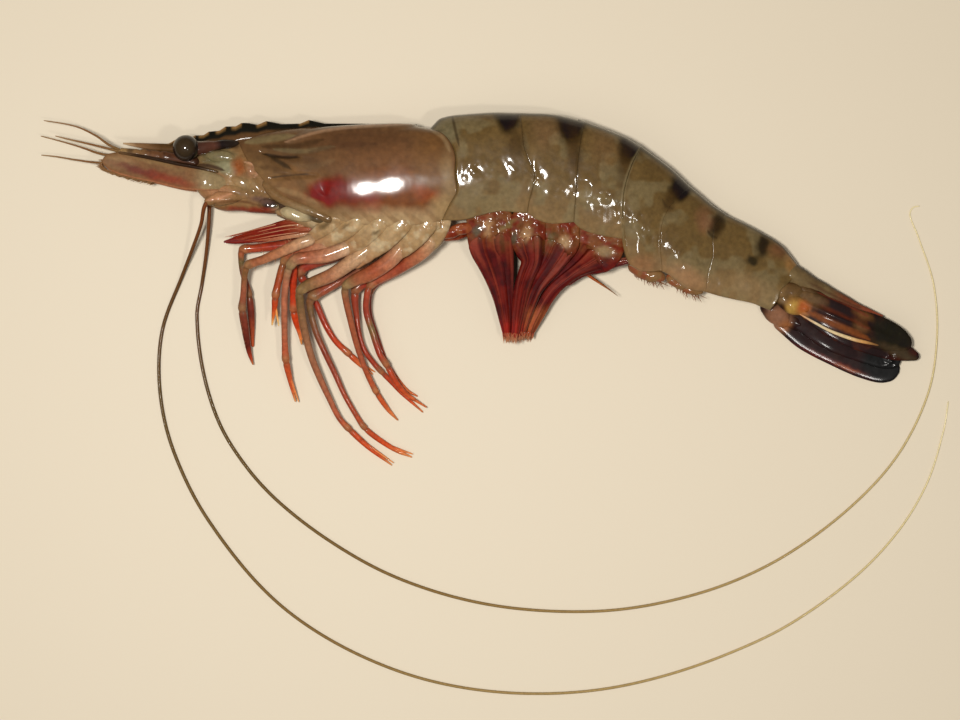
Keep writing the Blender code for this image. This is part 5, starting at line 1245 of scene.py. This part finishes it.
def swimmerets():
    """Each has a root, three long blades and a fringe; the last pair is small and has no root."""
    rng = np.random.default_rng(23)
    for number, line in enumerate(PLEOPODS, 1):
        small = number == len(PLEOPODS)
        for side in SIDES:
            drop = along(PLEOPOD_DROP, np.array([p[1] for p in line]), 0.01) * (side == "right")
            moved = [(x, y, z - d, half) for (x, y, z, half), d in zip(line, drop)]
            skin = Skin()
            if not small:
                swimmeret_root(skin, moved, number)
            for shift, share, lift, shade in BLADES:
                strip = ribbon(moved, -0.3 if small else 0.1, 0.96, shift, share, lift)
                points = swimmeret_blade(skin, strip, number, shift, shade)
                last, before = points[-1].mean(axis=0), points[-6].mean(axis=0)
                heading = (last - before) / np.linalg.norm(last - before)
                for start in rng.choice(points[-5], BLADE_HAIRS):
                    reach = (0.8 + 2.0 * rng.random()) * (0.3 if small else 1.0)
                    end = start + heading * reach + 0.35 * rng.normal(size=3) * (1, 1, 0.2)
                    hair(skin, (start, end), 0.2, ((150, 56, 36), (184, 128, 92)))
            if small and side == "left":
                hair(skin, FILAMENT, 0.5, ((140, 52, 26), (150, 84, 40), (96, 70, 36)))
            skin.build(f"pleopod_skin_{number}_{side}", FIN, "swimmeret", f"pleopod_{number}_{side}")


def paint_upper_fan(x, y):
    """Dark blades with an orange oval at their root, ochre and red streaks and olive ends."""
    tint = mix(srgb(34, 20, 10), srgb(56, 28, 16), ease((cloud(x, y, 2.2, 112) - 0.4) * 3))
    tint = with_spots(tint, *warped(x, y, 117, 0.5, 2), (
        ((81.6, 27.8), (4.6, 2.2), -28, (96, 72, 46), 0.9, 0.6),
        ((77.0, 28.6), (3.6, 2.6), -20, (96, 72, 44), 0.9, 0.5),
        ((79.0, 25.2), (3.2, 2.2), -30, (150, 108, 56), 0.95, 0.4),
        ((80.6, 25.0), (1.7, 1.7), -30, (160, 82, 42), 0.9, 0.6),
        ((77.6, 25.0), (1.3, 1.7), -30, (170, 134, 66), 0.9, 0.6),
        ((96.6, 22.7), (2.2, 0.9), -24, (116, 78, 44), 0.75, 1.0),
        ((95.6, 19.8), (1.8, 1.0), -35, (110, 76, 46), 0.7, 1.0),
        ((101.6, 19.2), (3.0, 4.6), -30, (30, 28, 18), 0.9, 0.5),
        ((105.4, 17.4), (5.0, 3.6), -30, (30, 28, 18), 0.95, 0.4),
        ((106.0, 13.2), (6.0, 1.0), -24, (66, 54, 38), 0.85, 0.7),
    ))
    return with_strokes(tint, x, y, (
        (((81.0, 24.0), (88.4, 20.7), (98.0, 16.6)), 0.8, (116, 62, 28), 0.85),
        (((84.0, 25.8), (92.0, 22.2), (99.0, 18.6)), 0.35, (96, 44, 30), 0.6),
        (((84.0, 29.0), (92.0, 25.6), (98.0, 22.2)), 0.35, (104, 48, 34), 0.7),
    ))


def paint_lower_fan(x, y):
    """Nearly black blades with a pinkish root and a red rim."""
    tint = mix(srgb(30, 16, 12), srgb(44, 27, 24), cloud(x, y, 3, 111))
    return with_spots(tint, *warped(x, y, 117, 0.5, 2), (
        ((74.4, 22.0), (3.6, 3.4), -30, (132, 92, 68), 0.95, 0.5),
        ((76.4, 20.2), (1.5, 1.2), 0, (148, 92, 52), 0.8, 0.8),
        ((88.2, 11.2), (9.0, 0.6), -24, (92, 28, 16), 0.85, 0.8),
        ((92.8, 9.1), (3.2, 0.3), -24, (158, 88, 52), 0.7, 0.9),
        ((103.0, 11.0), (6.0, 6.0), 0, (12, 10, 8), 0.95, 0.4),
    ))


def paint_fan(x, y, left):
    """Colours of the fan's left blades, which lie on top, or of the right ones."""
    tint = paint_upper_fan(x, y) if left else paint_lower_fan(x, y)
    return tint * (0.84 + 0.32 * cloud(x, y, 0.9, 13))[..., None]


def telson():
    """The tapering plate in the middle of the fan."""
    edges = (TELSON_FRONT, TELSON_REAR, TELSON_BACK, TELSON_SKIRT)
    points, _, v = body_piece(edges, rounded, lambda s: 1 - 0.25 * ease(-s / 0.08), start=-0.12, finer=1.3)
    x, y = points[..., 0], points[..., 1]
    tint = mix(srgb(118, 100, 68), srgb(92, 72, 48), cloud(x, y, 3, 115))
    tint = mix(tint, srgb(112, 62, 42), ease((x - 87) / 5))
    tint = mix(tint, srgb(130, 64, 44), ease((x - 95) / 4))
    tint = mix(tint, srgb(40, 32, 18), 0.85 * ease((v - 0.84) / 0.12))
    tint = mix(tint, srgb(72, 48, 32), 0.7 * stroke(x, y, ((80.0, 32.2), (88.0, 28.2), (96.0, 24.6)), 0.4))
    skin = Skin()
    skin.grid(raised(points, unevenness(x * 1.5, y * 1.5, 0.4, 119)), tint)
    skin.build("telson_skin", FAN, "tail_fan", "telson")


def uropods():
    """The four blades of the fan, lapped over each other, with the lobes that carry them."""
    for name, halves, line in UROPODS:
        left = "left" in name
        skin = Skin()
        wide = [(x, y, z, half * 1.06 + 0.3) for x, y, z, half in line]
        points, t, across = blade(ribbon(wide, -0.06, 1.0, 0.0, 1.0, 0.0), halves, 0.3, 48, roundness=0.3)
        x, y = points[..., 0], points[..., 1]
        points[..., 2] += 0.3 * bell(across, 0, 0.16) * ease((0.9 - t) / 0.3) * left
        points[..., 2] += 0.6 * (cloud(x, y, 1.1, 124) - 0.5) * spot(x, y, (103.6, 11.2), (1.8, 1.6), 0, 0.8)
        skin.grid(points, paint_fan(x, y, left))
        if name == "uropod_left_outer":
            points, t, _ = tube(BRIGHT_EDGE, 14, 0.3, flat=0.8)
            skin.grid(points, stops(t, ((0, (190, 120, 70)), (0.25, (206, 186, 150)), (0.6, (206, 180, 136)),
                                        (0.8, (190, 140, 84)), (1, (110, 76, 46)))))
        for a, b, radius, flat in TAIL_LOBES.get(name, ()):
            points = lobe(a, b, radius, flat)
            x, y = points[..., 0], points[..., 1]
            relief = unevenness(x * 2, y * 2, 0.7, 121) + 0.35 * (cloud(x, y, 1.2, 122) - 0.5)
            olive = 0.9 * ease((77.0 - x) / 2) * ease((y - 25.0) / 2)
            skin.grid(raised(points, relief), mix(paint_fan(x, y, left), srgb(112, 86, 54), olive))
        skin.build(f"{name}_skin", FAN, "tail_fan", name)


carapace()
head()
breast()
tail_segments()
telson()
uropods()
eyes()
feelers()
mouth_limbs()
legs()
swimmerets()


def lamp(name, place, size, power, colour=(1, 1, 1)):
    """Round soft light at that place in metres, aimed at the prawn's body."""
    data = bpy.data.lights.new(name, "AREA")
    data.shape = "DISK"
    data.size = size
    data.energy = power
    data.color = colour
    obj = bpy.data.objects.new(name, data)
    obj.location = place
    obj.rotation_mode = "QUATERNION"
    obj.rotation_quaternion = (Vector((0, 0.05, 0)) - Vector(place)).to_track_quat("-Z", "Y")
    bpy.context.scene.collection.objects.link(obj)
    return obj


def pale_floor():
    """Plain board under the prawn."""
    mesh = bpy.data.meshes.new("floor")
    corners = [(x * FLOOR_HALF, y * FLOOR_HALF, 0) for x, y in ((-1, -1), (1, -1), (1, 1), (-1, 1))]
    mesh.from_pydata(corners, [], [(0, 1, 2, 3)])
    floor = bpy.data.objects.new("floor", mesh)
    bpy.context.scene.collection.objects.link(floor)
    floor.location.z = -FLOOR_DROP
    material = bpy.data.materials.new("pale_board")
    material.use_nodes = True
    shader = material.node_tree.nodes["Principled BSDF"]
    shader.inputs["Base Color"].default_value = (*srgb(214, 201, 178), 1)
    shader.inputs["Roughness"].default_value = 0.55
    mesh.materials.append(material)


def lights():
    """A small bright lamp over the head, a weaker one over the tail, and soft light from all round."""
    lamp("key", (-0.105, 0.03, 0.72), 0.085, 4.2, WARM)
    lamp("tail", (0.17, -0.11, 0.71), 0.05, 0.75, WARM)
    lamp("fill", (-0.5, -0.3, 0.9), 0.8, 1.0).visible_glossy = False
    world = bpy.data.worlds.new("studio")
    bpy.context.scene.world = world
    world.use_nodes = True
    background = world.node_tree.nodes["Background"]
    background.inputs["Color"].default_value = (1.0, 0.96, 0.9, 1)
    background.inputs["Strength"].default_value = 0.15


def overhead_camera():
    """Straight above the picture's middle; the lens fits the picture's width to the body's middle plane."""
    data = bpy.data.cameras.new("camera")
    data.sensor_width = SENSOR_WIDTH
    data.lens = SENSOR_WIDTH * CAMERA_HEIGHT / (PICTURE_WIDTH * PIXEL * MM)
    camera = bpy.data.objects.new("camera", data)
    camera.location = (PICTURE_MIDDLE[0] * MM, PICTURE_MIDDLE[1] * MM, CAMERA_HEIGHT + BODY_LEVEL * MM)
    bpy.context.scene.collection.objects.link(camera)
    bpy.context.scene.camera = camera
    bpy.context.scene.view_settings.view_transform = "Standard"


pale_floor()
lights()
overhead_camera()
